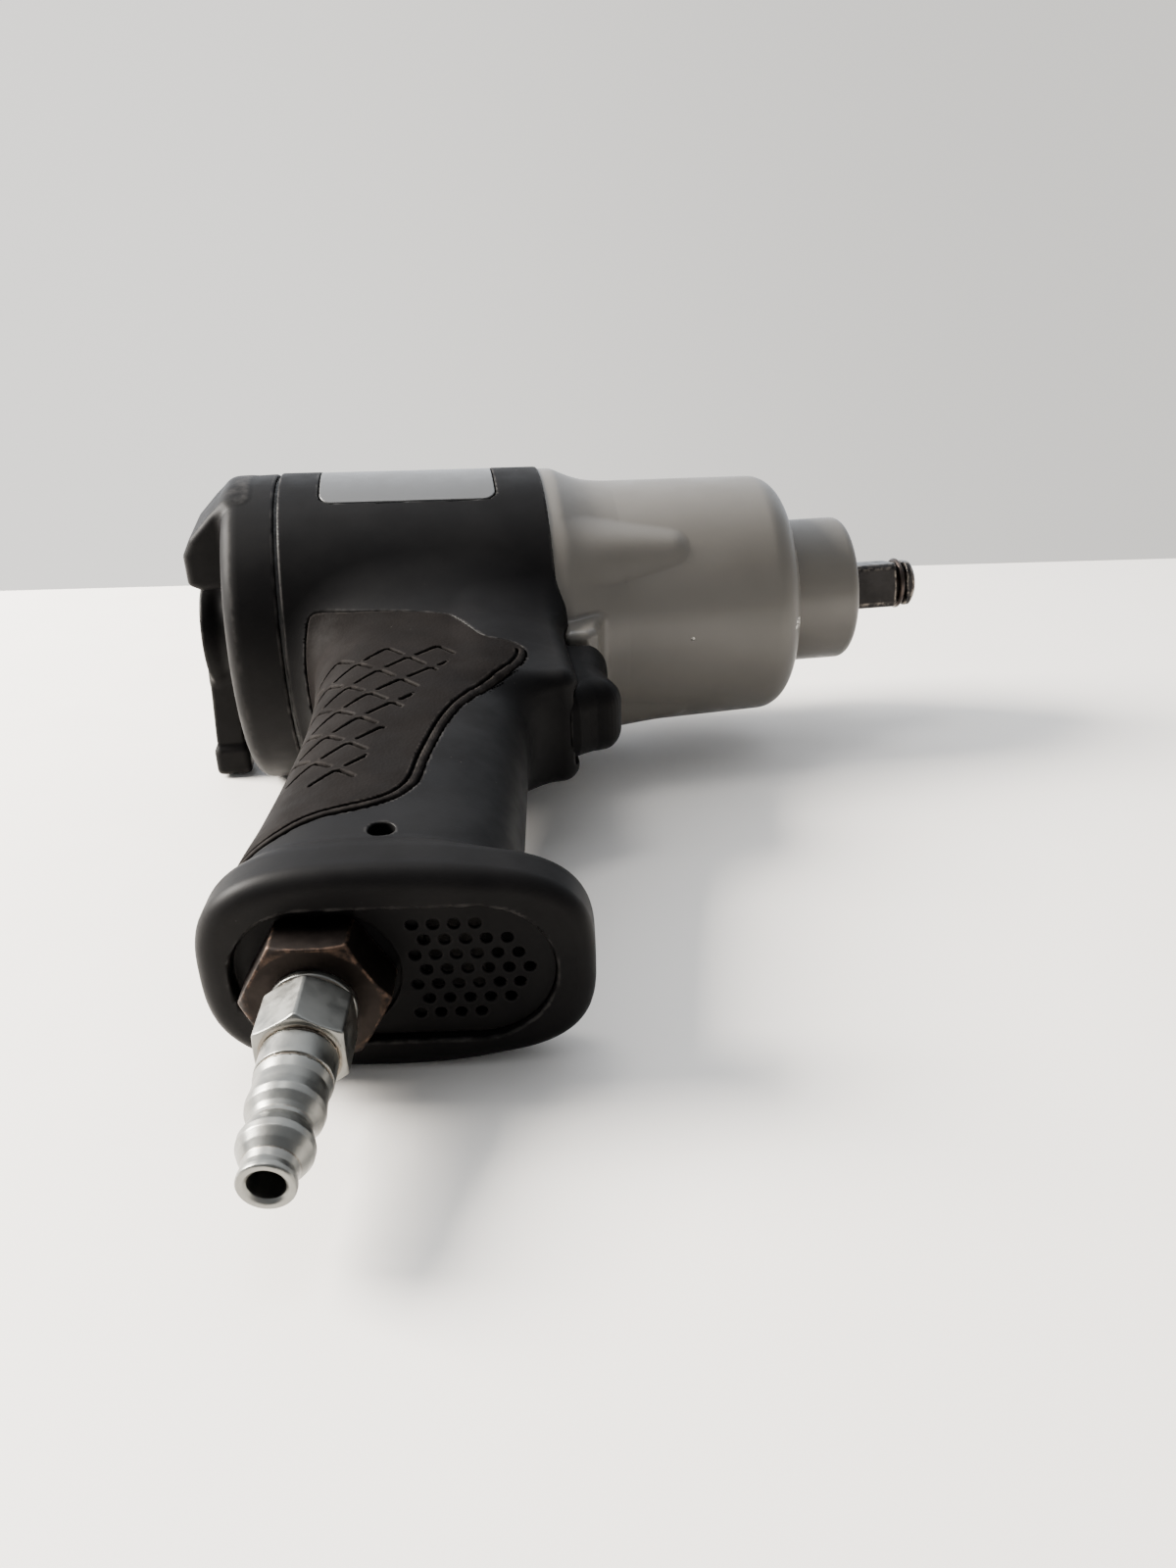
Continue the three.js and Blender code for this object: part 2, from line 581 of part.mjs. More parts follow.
// The tilting valve: a disc under the seat and a long tail that the trigger's stem pushes.
const throttleValve = () => turnedDown([
  [63.4, 0], [63.4, 1.2], [64, 1.5], [SEAT_S + 0.4, 1.5], [SEAT_S + 0.4, 6.2], [97.4, 6.2], [98.4, 3.2],
  [100.2, 3], [100.2, 0],
]);

// A conical spring: its narrow end faces the valve's boss and its wide end rests on the spring seat.
const SPRING = { turns: 4, stepsPerTurn: 12, s0: 102.6, s1: 117, r0: 3.2, r1: 6.8, wire: 0.55 };
function valveSpring() {
  const steps = SPRING.turns * SPRING.stepsPerTurn;
  const path = new THREE.CatmullRomCurve3(range(steps + 1).map((k) => {
    const angle = (k / SPRING.stepsPerTurn) * 2 * Math.PI;
    const r = THREE.MathUtils.lerp(SPRING.r0, SPRING.r1, k / steps);
    const s = THREE.MathUtils.lerp(SPRING.s0, SPRING.s1, k / steps);
    return new THREE.Vector3(VALVE_T + r * Math.cos(angle), r * Math.sin(angle), -s);
  }));
  const wire = new THREE.Shape();
  wire.absarc(0, 0, SPRING.wire, 0, 2 * Math.PI);
  return new THREE.ExtrudeGeometry(wire, { steps, extrudePath: path, curveSegments: 3 });
}

const springSeat = () => turnedDown([
  [118, 4.8], [118, CHAMBER_R - GAP], [121, CHAMBER_R - GAP], [121, 4.8], [118, 4.8],
]);

// ---------------------------------------------------------------- air inlet and exhaust
const HEX_ACROSS = 22.2;
const BUSHING_NECK = [PIN.s - 3.1, PIN.s + 3.1]; // the groove that the pin locks
const BUSHING_NUT_S = BASE_S - 2;
const BUSHING_FACE_S = BASE_S + 7;
const PLUG_HEX = 14.3;

function inletBushing() {
  const shank = turnedDown([
    [141.4, 0], [141.4, 10], [BUSHING_NECK[0], 10], [BUSHING_NECK[0], 7], [BUSHING_NECK[1], 7],
    [BUSHING_NECK[1], 10], [BASE_S + 1, 10], [BASE_S + 1, 0],
  ]);
  const nut = common(
    prismDown(hexagon(HEX_ACROSS), BUSHING_NUT_S, BUSHING_FACE_S).translate(VALVE_T, 0, 0),
    turnedDown([
      [BUSHING_NUT_S, 0], [BUSHING_NUT_S, 13], [BUSHING_FACE_S - 1, 13],
      [BUSHING_FACE_S, 11.3], [BUSHING_FACE_S, 0],
    ]),
  );
  return cut(join(shank, nut), barDown(140, 180, 4.6), barDown(160, 180, 6.8));
}

// The plug's outline below the bushing's face, as [distance from that face, radius]: collar, body
// under the hexagon, taper, then the coupler's groove between its shoulders and the tip flange.
const PLUG_PROFILE = [
  [-13, 2.6], [-13, 6.1], [-12, 6.5], [-0.2, 6.5], [0.4, 7.4], [2.2, 7.6], [2.6, 7], [14.6, 7],
  [16.2, 5.4], [20.4, 5.2], [22, 6.3], [24.2, 6.3], [26.2, 4.5], [28.6, 4.5], [30.2, 5.9],
  [32.4, 5.9], [34, 4], [36, 4], [36.6, 4.5], [38.3, 4.5], [38.6, 4.2], [38.6, 2.7], [-13, 2.6],
];

function airPlug() {
  const body = turnedDown(PLUG_PROFILE.map(([s, r]) => [BUSHING_FACE_S + s, r]));
  const [s0, s1] = [BUSHING_FACE_S + 2.4, BUSHING_FACE_S + 10.4];
  const nut = common(
    prismDown(hexagon(PLUG_HEX), s0, s1).translate(VALVE_T, 0, 0),
    turnedDown([[s0, 0], [s0, 7.6], [s0 + 0.9, 8.3], [s1 - 0.9, 8.3], [s1, 7.6], [s1, 0]]),
  );
  return cut(join(body, nut), barDown(161, 215, 2.7, VALVE_T, 16));
}

// Rows of holes of the exhaust plate: each row runs forward from the back one, in a staggered grid.
const HOLE_ROWS = [4, 5, 6, 6, 6, 5, 4];
const HOLE_BACK_T = -20.7;
const HOLE_PITCH = 3.5;
const HOLE_ROW_STEP = 3.1;
const HOLE_R = 1.05;
const NUT_POCKET_R = 13.3; // the hollow in the plate's back edge, round the nut

function exhaustDeflector() {
  const [s0, s1] = [BASE_S - FACE_RECESS + GAP, BASE_S - 0.9];
  const sheet = cut(
    common(
      prismDown(faceOutline(GAP), s0, s1),
      block(PLATE_BACK_T, FACE_T[1], -FACE_HALF, FACE_HALF, -s1, -s0),
    ),
    barDown(150, 180, NUT_POCKET_R, VALVE_T, 32),
  );
  const holes = HOLE_ROWS.flatMap((count, row) =>
    range(count).map((k) => {
      const y = (row - (HOLE_ROWS.length - 1) / 2) * HOLE_ROW_STEP;
      const t = HOLE_BACK_T + (k + (row % 2) / 2) * HOLE_PITCH;
      return barDown(150, 180, HOLE_R, t, 6).translate(0, y, 0);
    }),
  );
  return cut(sheet, ...holes);
}

const silencer = () => block(DUCT_T[0] + 1.6, -8, -12, 12, -BASE_S + 8, -PLENUM_TOP_S - 0.6);

const inletScreen = () => turnedDown([
  [130, 0], [130, 6.6], [140.4, 8], [141, 8], [141, 6.4], [131.2, 5.4], [131.2, 0],
], VALVE_T, 20);

const bushingPin = () =>
  turned([[-16.6, 0], [-16.6, 1.9], [-16.2, 2.2], [16.2, 2.2], [16.6, 1.9], [16.6, 0]], 14)
    .rotateZ(Math.PI / 2).translate(PIN.t, 0, -PIN.s);

// ---------------------------------------------------------------- assembly
function group(...children) {
  const holder = new THREE.Group();
  holder.add(...children);
  return holder;
}

function barrelPieces() {
  return group(
    piece("motor_housing", motorHousing(), blackComposite),
    piece("rear_cover", rearCover(), blackComposite),
    piece("hammer_case", hammerCase(), greyPaint),
    piece("label_plate_right", badgeSolid(-1, 0, 0.8, 1.1), badgeGrey),
    piece("label_plate_left", badgeSolid(1, 0, 0.8, 1.1), badgeGrey),
    gasket("rear_gasket", SEAM_X - 0.4, SEAM_X + 0.4, BORE_R + 1, REAR_R - 1.2),
    gasket("front_gasket", -2.9, -2.3, CAVITY_R + 0.3, 36.6),
    ...SCREW_ANGLES.map((a, k) => caseScrew(`case_screw_${k + 1}`, a)),
    piece("anvil_bushing", anvilBushing(), bronze),
  );
}

function motorPieces() {
  return group(
    piece("motor_cylinder", motorCylinder(), machinedSteel),
    piece("rear_end_plate", endPlate(-67.6, -58.3, -68, -61), machinedSteel),
    piece("front_end_plate", endPlate(-15.7, -6.4, -13, -6), machinedSteel),
    piece("rear_bearing", tube(-67.4, -61.3, SHAFT_R + GAP, BEARING_R), springSteel),
    piece("front_bearing", tube(-12.7, -6.6, SHAFT_R + GAP, BEARING_R), springSteel),
    piece("cylinder_dowel", bar(-66, -8, 1.5, 10).translate(0, 0, -26.6), springSteel),
    piece("rotor", rotor(), machinedSteel),
    ...bladeAngles().map((a, k) => rotorBlade(`rotor_blade_${k + 1}`, a)),
  );
}

function impactPieces() {
  const pins = [0, 180].map((a, k) => {
    const pin = piece(`hammer_pin_${k + 1}`, hammerPin(), springSteel);
    pin.position.z = PIN_CIRCLE_R * (k ? -1 : 1);
    return pin;
  });
  return group(
    piece("hammer_cage", hammerCage(), machinedSteel),
    ...pins,
    hammer("rear_hammer", 16, 29.6, 0),
    hammer("front_hammer", 30.4, 44, Math.PI),
    piece("anvil", anvil(), blackSteel),
    piece("friction_ring", frictionRing(), springSteel),
  );
}

function leverPieces() {
  const lever = group(
    piece("direction_lever", directionLever(), blackComposite),
    piece("lever_screw", leverScrew(), blackSteel),
    piece("reverse_valve", reverseValve(), bronze),
  );
  lever.rotation.x = LEVER_TILT;
  return lever;
}

function handlePieces() {
  const handle = group(
    piece("throttle_seat", throttleSeat(), bronze),
    piece("throttle_valve", throttleValve(), bronze),
    piece("valve_spring", valveSpring(), springSteel),
    piece("spring_seat", springSeat(), bronze),
    piece("inlet_screen", inletScreen(), filterFelt),
    piece("inlet_bushing", inletBushing(), blackSteel),
    piece("bushing_pin", bushingPin(), blackSteel),
    piece("air_plug", airPlug(), zincPlate),
    piece("exhaust_silencer", silencer(), filterFelt),
    piece("exhaust_deflector", exhaustDeflector(), blackComposite),
  );
  handle.rotation.y = SLANT;
  return handle;
}

const tool = group(
  barrelPieces(),
  motorPieces(),
  impactPieces(),
  leverPieces(),
  handlePieces(),
  piece("grip_overmold", gripOvermold(), gripRubber),
  piece("trigger", trigger(), blackComposite),
  piece("trigger_stem", triggerStem(), machinedSteel),
);
tool.rotation.x = LIE - Math.PI / 2;

// Stands the laid-down tool on z = 0 with the middle of its outline over the origin.
const wrench = group(tool);
wrench.updateMatrixWorld(true);
const extent = new THREE.Box3().setFromObject(tool, true);
tool.position.set(-(extent.min.x + extent.max.x) / 2, -(extent.min.y + extent.max.y) / 2, -extent.min.z);

export default wrench;
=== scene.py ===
"""Looks of an air impact wrench that lies on its left side.

Shapes are written as distance fields in millimetres in the tool's own frame: +X runs forward along the
barrel, +Y to the tool's left and +Z up, with the handle hanging towards -Z. In the handle's frame, s is the
distance down the leaning handle and t the distance forward. surface() turns a field into a mesh and
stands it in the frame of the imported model, in metres.
"""
import json
import math
from functools import reduce

import bpy
import numpy as np
from mathutils import Matrix, Vector


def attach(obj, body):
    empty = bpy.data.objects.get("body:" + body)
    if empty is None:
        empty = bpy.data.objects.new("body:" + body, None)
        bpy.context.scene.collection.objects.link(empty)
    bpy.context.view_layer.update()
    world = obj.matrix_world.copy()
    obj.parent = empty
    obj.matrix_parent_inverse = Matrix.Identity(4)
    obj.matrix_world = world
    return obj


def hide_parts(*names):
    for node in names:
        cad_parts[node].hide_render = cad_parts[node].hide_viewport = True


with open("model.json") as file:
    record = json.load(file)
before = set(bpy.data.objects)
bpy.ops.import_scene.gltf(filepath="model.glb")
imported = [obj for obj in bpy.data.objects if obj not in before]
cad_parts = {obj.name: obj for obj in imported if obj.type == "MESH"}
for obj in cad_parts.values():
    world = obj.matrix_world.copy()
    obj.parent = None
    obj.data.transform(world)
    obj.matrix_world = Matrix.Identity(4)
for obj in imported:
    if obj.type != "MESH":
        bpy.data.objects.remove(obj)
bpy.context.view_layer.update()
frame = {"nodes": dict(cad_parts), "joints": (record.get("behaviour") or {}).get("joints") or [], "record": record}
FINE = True

# ---------------------------------------------------------------- the tool's frame, from the joints
joints = {j["name"]: j for j in frame["joints"]}
LEVER_X = -90.0  # where on the barrel's axis the lever's joint stands
TOOL_Y = -Vector(joints["throttle_tilt"]["axis"])
TOOL_X = Vector((1, 0, 0))
TOOL_Z = TOOL_X.cross(TOOL_Y)
ORIGIN = Vector(joints["direction_turn"]["pos_m"]) - TOOL_X * LEVER_X / 1000
TO_WORLD = np.array([TOOL_X, TOOL_Y, TOOL_Z]).T / 1000
SLANT = math.radians(6.7)

# ---------------------------------------------------------------- driving dimensions, mm
SEAM_X = -69.7  # joint between rear cover and motor housing
REAR_R = 41.8  # barrel radius there
RIM_R = 39.6  # barrel radius at the front rim, x = 0
BACK_X = -84.0  # flat back of the rear cover
CASE_R = 34.7
CASE_END_R = 33.5
SHOULDER_X = 61.5
NOSE_R = 20.4
NOSE_X = 87.4
TIP_X = 109.0
DRIVE = 12.7
DRIVE_TURN = math.radians(-14)
LEVER_TILT = math.radians(-5)
BASE_S = 168.0
VALVE_T = -36.6
PIN_SPOT = (150.5, -26.7)  # s and t of the bushing pin
BADGE_X = (-58.5, -13.0)
BADGE_HALF = 14.5
SCREW_CIRCLE_R = 33.2
SCREW_ANGLES = (45, 135, 225, 315)
HANDLE_N = 2.7  # squareness of the handle's rounded section


# ---------------------------------------------------------------- distance fields
def union(a, b, r=0.0):
    """The join of two solids, with a fillet of radius r in the corner between them."""
    if r == 0:
        return np.minimum(a, b)
    return np.maximum(r, np.minimum(a, b)) - np.hypot(np.maximum(r - a, 0), np.maximum(r - b, 0))


def common(a, b, r=0.0):
    """What two solids share, with the new edge rounded to radius r."""
    if r == 0:
        return np.maximum(a, b)
    return np.minimum(-r, np.maximum(a, b)) + np.hypot(np.maximum(r + a, 0), np.maximum(r + b, 0))


def cut(a, b, r=0.0):
    return common(a, -b, r)


def along(x, x0, x1):
    """The slab between x0 and x1."""
    return np.abs(x - (x0 + x1) / 2) - (x1 - x0) / 2


def box(x, y, z, x0, x1, y0, y1, z0, z1, r=0.5):
    return common(common(along(x, x0, x1), along(y, y0, y1), r), along(z, z0, z1), r)


def rounded(u, v, half_u, half_v, r):
    """A rounded rectangle round the origin."""
    du, dv = np.abs(u) - half_u + r, np.abs(v) - half_v + r
    return np.hypot(np.maximum(du, 0), np.maximum(dv, 0)) + np.minimum(np.maximum(du, dv), 0) - r


def rod(x, rho, x0, x1, radius, r=0.0):
    return common(rho - radius, along(x, x0, x1), r)


HEX_CORNER = 0.35
SIXTH = math.pi / 3


def hexagon(u, v, across, turn=0.0):
    """A hexagonal prism's section, across its flats, with slightly rounded corners."""
    faces = [u * math.cos(a) + v * math.sin(a) - across / 2 for a in (turn + k * SIXTH for k in range(6))]
    return reduce(lambda a, b: common(a, b, HEX_CORNER), faces)


def nearest_on(u, v, start, end):
    """Squared distance to a straight stretch from start to end."""
    (u0, v0), (du, dv) = start, (end[0] - start[0], end[1] - start[1])
    share = np.clip(((u - u0) * du + (v - v0) * dv) / (du * du + dv * dv), 0, 1)
    return (u - u0 - share * du) ** 2 + (v - v0 - share * dv) ** 2


def outline(u, v, points, r=0.0):
    """The inside of a closed polygon in u and v, its convex corners rounded to radius r."""
    nearest, odd = math.inf, False
    for (u0, v0), (u1, v1) in zip(points, points[1:] + points[:1]):
        nearest = np.minimum(nearest, nearest_on(u, v, (u0, v0), (u1, v1)))
        if v1 != v0:
            crosses = (v0 > v) != (v1 > v)
            odd = odd ^ (crosses & (u < u0 + (v - v0) * (u1 - u0) / (v1 - v0)))
    return np.where(odd, -1, 1) * np.sqrt(nearest) - r


def shrunk(points, by):
    """A polygon moved inwards by a small distance, corner by corner."""
    area = sum(a[0] * b[1] - b[0] * a[1] for a, b in zip(points, points[1:] + points[:1]))
    side = by if area > 0 else -by
    made = []
    for before, at, after in zip(points[-1:] + points[:-1], points, points[1:] + points[:1]):
        n0 = normal(before, at)
        n1 = normal(at, after)
        scale = side / (1 + n0[0] * n1[0] + n0[1] * n1[1])
        made.append((at[0] + (n0[0] + n1[0]) * scale, at[1] + (n0[1] + n1[1]) * scale))
    return made


def normal(a, b):
    length = math.hypot(b[0] - a[0], b[1] - a[1])
    return (a[1] - b[1]) / length, (b[0] - a[0]) / length


def polygon(u, v, points, r):
    """A closed polygon whose convex corners are rounded to radius r without growing it."""
    return outline(u, v, shrunk(points, r), r)


def smooth_loop(points, count, closed=True):
    """Points along a smooth curve through the given ones."""
    p = np.array(points, float)
    n = len(p)
    made = []
    spans = n if closed else n - 1
    for i in range(spans):
        a, b, c, d = (p[(i + k) % n] if closed else p[min(max(i + k, 0), n - 1)] for k in (-1, 0, 1, 2))
        for k in range(count):
            t = k / count
            made.append(tuple(0.5 * (2 * b + (c - a) * t + (2 * a - 5 * b + 4 * c - d) * t * t
                                     + (3 * b - a - 3 * c + d) * t ** 3)))
    if not closed:
        made.append(tuple(p[-1]))
    return made


def path_distance(u, v, points):
    """Distance to an open line through points."""
    return np.sqrt(np.minimum.reduce([nearest_on(u, v, a, b) for a, b in zip(points, points[1:])]))


def handle_frame(x, z):
    """s down the handle and t forward."""
    return -x * math.sin(SLANT) - z * math.cos(SLANT), x * math.cos(SLANT) - z * math.sin(SLANT)


def turned_to(y, z, degrees):
    """y and z seen from a place at that angle round the barrel, where z runs outwards."""
    a = math.radians(degrees)
    return y * math.cos(a) - z * math.sin(a), y * math.sin(a) + z * math.cos(a)


# ---------------------------------------------------------------- from a field to a mesh
BLOCK = 12
EDGES = [(a, b) for a in range(8) for b in range(a + 1, 8) if bin(a ^ b).count("1") == 1]
CORNERS = np.array([[(k >> 2) & 1, (k >> 1) & 1, k & 1] for k in range(8)])


def sampled(field, lo, counts, step):
    """The field on a grid. A block of the grid that is far from the surface holds one value."""
    axes = [lo[k] + step * np.arange(counts[k], dtype=np.float32) for k in range(3)]
    starts = [np.arange(0, n, BLOCK) for n in counts]
    middles = [np.minimum(s + BLOCK / 2, n - 1) * step + lo[k] for k, (s, n) in enumerate(zip(starts, counts))]
    far = field(*np.meshgrid(*middles, indexing="ij", sparse=True))
    far = np.broadcast_to(far, [len(s) for s in starts])
    values = np.empty(counts, np.float32)
    reach = BLOCK * step * 1.05 + 1.0
    for i, j, k in np.ndindex(far.shape):
        spot = tuple(slice(s[n], s[n] + BLOCK) for s, n in zip(starts, (i, j, k)))
        if abs(far[i, j, k]) > reach:
            values[spot] = far[i, j, k]
        else:
            x, y, z = (axes[n][spot[n]] for n in range(3))
            values[spot] = field(x[:, None, None], y[None, :, None], z[None, None, :])
    return values


def stepped(field, p, h):
    """The field a step h ahead of and behind each point, along each axis in turn."""
    for k in range(3):
        step = np.zeros(3)
        step[k] = h
        yield k, field(*(p + step).T), field(*(p - step).T)


def slope_at(field, p, h):
    slope = np.empty_like(p)
    for k, ahead, behind in stepped(field, p, h):
        slope[:, k] = (ahead - behind) / (2 * h)
    return slope


def bend_at(field, p, h):
    """How sharply the surface bends at points: above 0 on outer edges, below 0 in grooves."""
    here = field(*p.T)
    return sum((ahead + behind - 2 * here) / (h * h) for _, ahead, behind in stepped(field, p, h))


def surface_net(values, lo, step):
    """Vertices and quads where the values change sign: one vertex in each cell that the surface crosses."""
    inside = values < 0
    total = np.zeros([n - 1 for n in values.shape], np.uint8)
    for dx, dy, dz in CORNERS:
        total += inside[dx:dx + total.shape[0], dy:dy + total.shape[1], dz:dz + total.shape[2]]
    mixed = (total > 0) & (total < 8)
    cells = np.argwhere(mixed)
    at = [values[tuple((cells + c).T)].astype(float) for c in CORNERS]
    place, hits = np.zeros((len(cells), 3)), np.zeros(len(cells))
    for a, b in EDGES:
        crossed = (at[a] < 0) != (at[b] < 0)
        share = np.where(crossed, at[a] / np.where(crossed, at[a] - at[b], 1), 0)
        spot = CORNERS[a] + share[:, None] * (CORNERS[b] - CORNERS[a])
        place += spot * crossed[:, None]
        hits += crossed
    points = lo + step * (cells + place / hits[:, None])
    number = np.full(mixed.shape, -1, np.int32)
    number[mixed] = np.arange(len(cells))
    quads = []
    for axis in range(3):
        u, v = [(1, 2), (2, 0), (0, 1)][axis]
        ahead = np.take(inside, range(1, inside.shape[axis]), axis)
        here = np.take(inside, range(inside.shape[axis] - 1), axis)
        spots = np.argwhere(ahead != here)
        spots = spots[(spots[:, u] > 0) & (spots[:, v] > 0)]
        spots = spots[(spots[:, u] < values.shape[u] - 1) & (spots[:, v] < values.shape[v] - 1)]
        ring = []
        for du, dv in ((1, 1), (0, 1), (0, 0), (1, 0)):
            cell = spots.copy()
            cell[:, u] -= du
            cell[:, v] -= dv
            ring.append(number[tuple(cell.T)])
        ring = np.stack(ring, 1)
        outward = here[tuple(spots.T)]
        quads.append(np.where(outward[:, None], ring, ring[:, ::-1]))
    return points, np.concatenate(quads)


COARSER = 1.9
SLOPE_REACH = 0.04  # mm each way, for finding the surface
NORMAL_REACH = 0.12  # for the shading normals
BEND_REACH = 0.5  # for the wear on edges
BEND_LIMIT = 3


def surface(name, field, lo, hi, step, body, replaced, slot, material):
    """A new piece: the field's surface, made in the box lo to hi, riding on a CAD body."""
    step = step if FINE else step * COARSER
    lo = np.array(lo, float) - 2 * step
    counts = np.ceil((np.array(hi) + 2 * step - lo) / step).astype(int) + 1
    points, quads = surface_net(sampled(field, lo, counts, step), lo, step)
    for _ in range(3):
        slope = slope_at(field, points, SLOPE_REACH)
        steep = np.maximum((slope * slope).sum(1), 0.05)
        move = np.clip(field(*points.T) / steep, -0.6 * step, 0.6 * step)
        points = points - slope * move[:, None]
    slope = slope_at(field, points, NORMAL_REACH)
    bend = bend_at(field, points, BEND_REACH)
    out = slope / np.maximum(np.linalg.norm(slope, axis=1), 1e-6)[:, None]
    mesh = bpy.data.meshes.new(name)
    mesh.from_pydata((points @ TO_WORLD.T + np.array(ORIGIN)).tolist(), [], quads.tolist())
    mesh.polygons.foreach_set("use_smooth", np.ones(len(quads), bool))
    mesh.normals_split_custom_set_from_vertices((out @ TO_WORLD.T * 1000).tolist())
    edge = mesh.attributes.new("bend", "FLOAT", "POINT")
    edge.data.foreach_set("value", np.clip(bend, -BEND_LIMIT, BEND_LIMIT).astype(np.float32))
    mesh.materials.append(material)
    piece = bpy.data.objects.new(name, mesh)
    bpy.context.scene.collection.objects.link(piece)
    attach(piece, body)
    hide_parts(*replaced)
    return piece


# ---------------------------------------------------------------- the outer body
HANDLE_ROWS = [  # s, back t, front t and half width of the handle's section
    (20, -57, 2, 19.4), (44, -57.5, 1.5, 19), (58, -55.5, 0, 18.4), (75, -53, -2, 17.8), (95, -52, -3, 17.5),
    (115, -52.5, -3.2, 17.5), (135, -53.8, -3.2, 17.8), (149, -55.2, -3, 18.4), (BASE_S, -56, -3, 19),
]
HANDLE_TABLE = np.array(smooth_loop(HANDLE_ROWS, 8, closed=False)).T
FLANGE = {"s": (156.8, BASE_S), "t": (-56.65, 9.85), "half": 20.0, "round": 3.3}
GRIP_EDGE = smooth_loop([  # the soft grip seen from the side, t and -s
    (-72, -61), (-60, -57), (-58.4, -49), (-56, -45.4), (-43.8, -47.6), (-25, -50), (-20.4, -53.4),
    (-13.5, -63.6), (-7, -64.6), (-3.6, -68), (-5.4, -77.3), (-13.6, -91.5), (-18.3, -104),
    (-21.2, -121), (-22.8, -133.8), (-28.5, -141), (-40, -145.4), (-47, -149.8), (-62, -157), (-72, -158),
], 4)
GRIP_PROUD = 0.35
GRIP_DEPTH = 2.2
GRIP_TOP_S = 45
BLOCK_POINTS = [(-24, -28), (-0.4, -28), (-0.4, -79), (-24, -81)]
BLOCK_HALF = 14.5
TRIGGER_HALF = 9.3
STEM_Z = -62


def barrel_radius(x):
    return RIM_R + (REAR_R - RIM_R) * x / SEAM_X


def section(u, v, half_u, half_v, n=HANDLE_N):
    """A rounded section between an ellipse and a rectangle, as a distance near its edge."""
    a, b = np.abs(u) / half_u, np.abs(v) / half_v
    q = np.maximum((a ** n + b ** n) ** (1 / n), 0.05)
    slope = q ** (1 - n) * np.hypot(a ** (n - 1) / half_u, b ** (n - 1) / half_v)
    return (q - 1) / np.maximum(slope, 0.01)


def handle_column(s, t, y):
    back, front, half = (np.interp(s, HANDLE_TABLE[0], HANDLE_TABLE[k]) for k in (1, 2, 3))
    return common(section(t - (front + back) / 2, y, (front - back) / 2, half), along(s, 22, BASE_S - 2), 1)


def flange(s, t, y):
    t0, t1 = FLANGE["t"]
    disc = section(t - (t0 + t1) / 2, y, (t1 - t0) / 2, FLANGE["half"], 3.1)
    return common(disc, along(s, *FLANGE["s"]), FLANGE["round"])


def body(x, y, z):
    """The outside of the motor housing and its grip, before anything is cut from it."""
    s, t = handle_frame(x, z)
    barrel = common(np.hypot(y, z) - barrel_radius(x), along(x, SEAM_X + 0.45, -0.1), 0.6)
    grip = union(handle_column(s, t, y), flange(s, t, y), 5)
    block = common(polygon(x, z, BLOCK_POINTS, 4.5), np.abs(y) - BLOCK_HALF, 4)
    return union(union(barrel, grip, 10), block, 8)


def grip_region(s, t):
    return outline(t, -s, GRIP_EDGE)


def badge(x, y, z, side, grow, deep, proud):
    middle, half = sum(BADGE_X) / 2, (BADGE_X[1] - BADGE_X[0]) / 2
    edge = rounded(x - middle, z, half + grow, BADGE_HALF + grow, 3.5)
    skin = along(np.hypot(y, z) - barrel_radius(x), -deep, proud)
    return common(common(edge, skin, 0.2), -side * y)


def valve_axis(s, t, y):
    return np.hypot(t - VALVE_T, y)


FACE_T = (-51.8, 3.2)  # the recess in the handle's bottom face, round at both ends
FACE_HALF = 13.8
FACE_RECESS = 2.6
PLATE_BACK_T = -30.0
FLARE_BACK_T = -19.0
FLARE_DEPTH = 7


def face_outline(t, y, inset=0.0):
    middle, half = sum(FACE_T) / 2, (FACE_T[1] - FACE_T[0]) / 2
    return rounded(t - middle, y, half - inset, FACE_HALF - inset, FACE_HALF - inset)


def handle_pockets(s, t, y):
    rho = valve_axis(s, t, y)
    inlet = union(rod(s, rho, 56, 142, 8.5), rod(s, rho, 141, 170, 10.4))
    feed = rod(s, rho, 20, 57, 4.5)
    ducts = common(along(t, -23, -8), common(along(np.abs(y), 5.2, 11), along(s, 26, 140)))
    plenum = common(along(t, -22, -9.5), common(np.abs(y) - 11, along(s, 139, 164)))
    seat = common(face_outline(t, y), along(s, BASE_S - FACE_RECESS, 175), 0.3)
    flare = common(common(face_outline(t, y, 2), FLARE_BACK_T - t), along(s, BASE_S - FLARE_DEPTH, 175))
    pin = common(np.hypot(s - PIN_SPOT[0], t - PIN_SPOT[1]) - 2.4, np.abs(y) - 30)
    return union(union(union(inlet, feed), union(ducts, plenum)), union(union(seat, flare), pin))


def screw_holes(x, y, z, radius):
    spots = [turned_to(y, z, a) for a in SCREW_ANGLES]
    return np.minimum.reduce([np.hypot(v, w - SCREW_CIRCLE_R) for v, w in spots]) - radius


def motor_housing(x, y, z):
    s, t = handle_frame(x, z)
    rho = np.hypot(y, z)
    outside = body(x, y, z)
    pocket = common(common(grip_region(s, t) - 0.3, -(outside + GRIP_DEPTH + 0.3)), GRIP_TOP_S - s)
    shell = cut(outside, pocket, 0.25)
    shell = cut(shell, union(rod(x, rho, SEAM_X - 1, 1, 29.5), rod(x, rho, -3.2, 2, 37.1)), 0.4)
    shell = cut(shell, common(screw_holes(x, y, z, 2.3), along(x, SEAM_X - 1, 1)))
    slot = common(np.abs(y) - TRIGGER_HALF - 0.4, common(along(x, -10, 5), along(z, -77.6, -28)), 1)
    stem = rod(x, np.hypot(y, z - STEM_Z), -38, 1, 2.4)
    shell = cut(cut(shell, slot, 0.6), stem)
    shell = cut(shell, handle_pockets(s, t, y), 0.35)
    for side in (1, -1):
        shell = cut(shell, badge(x, y, z, side, 0.3, 1.2, 3), 0.2)
    return shell


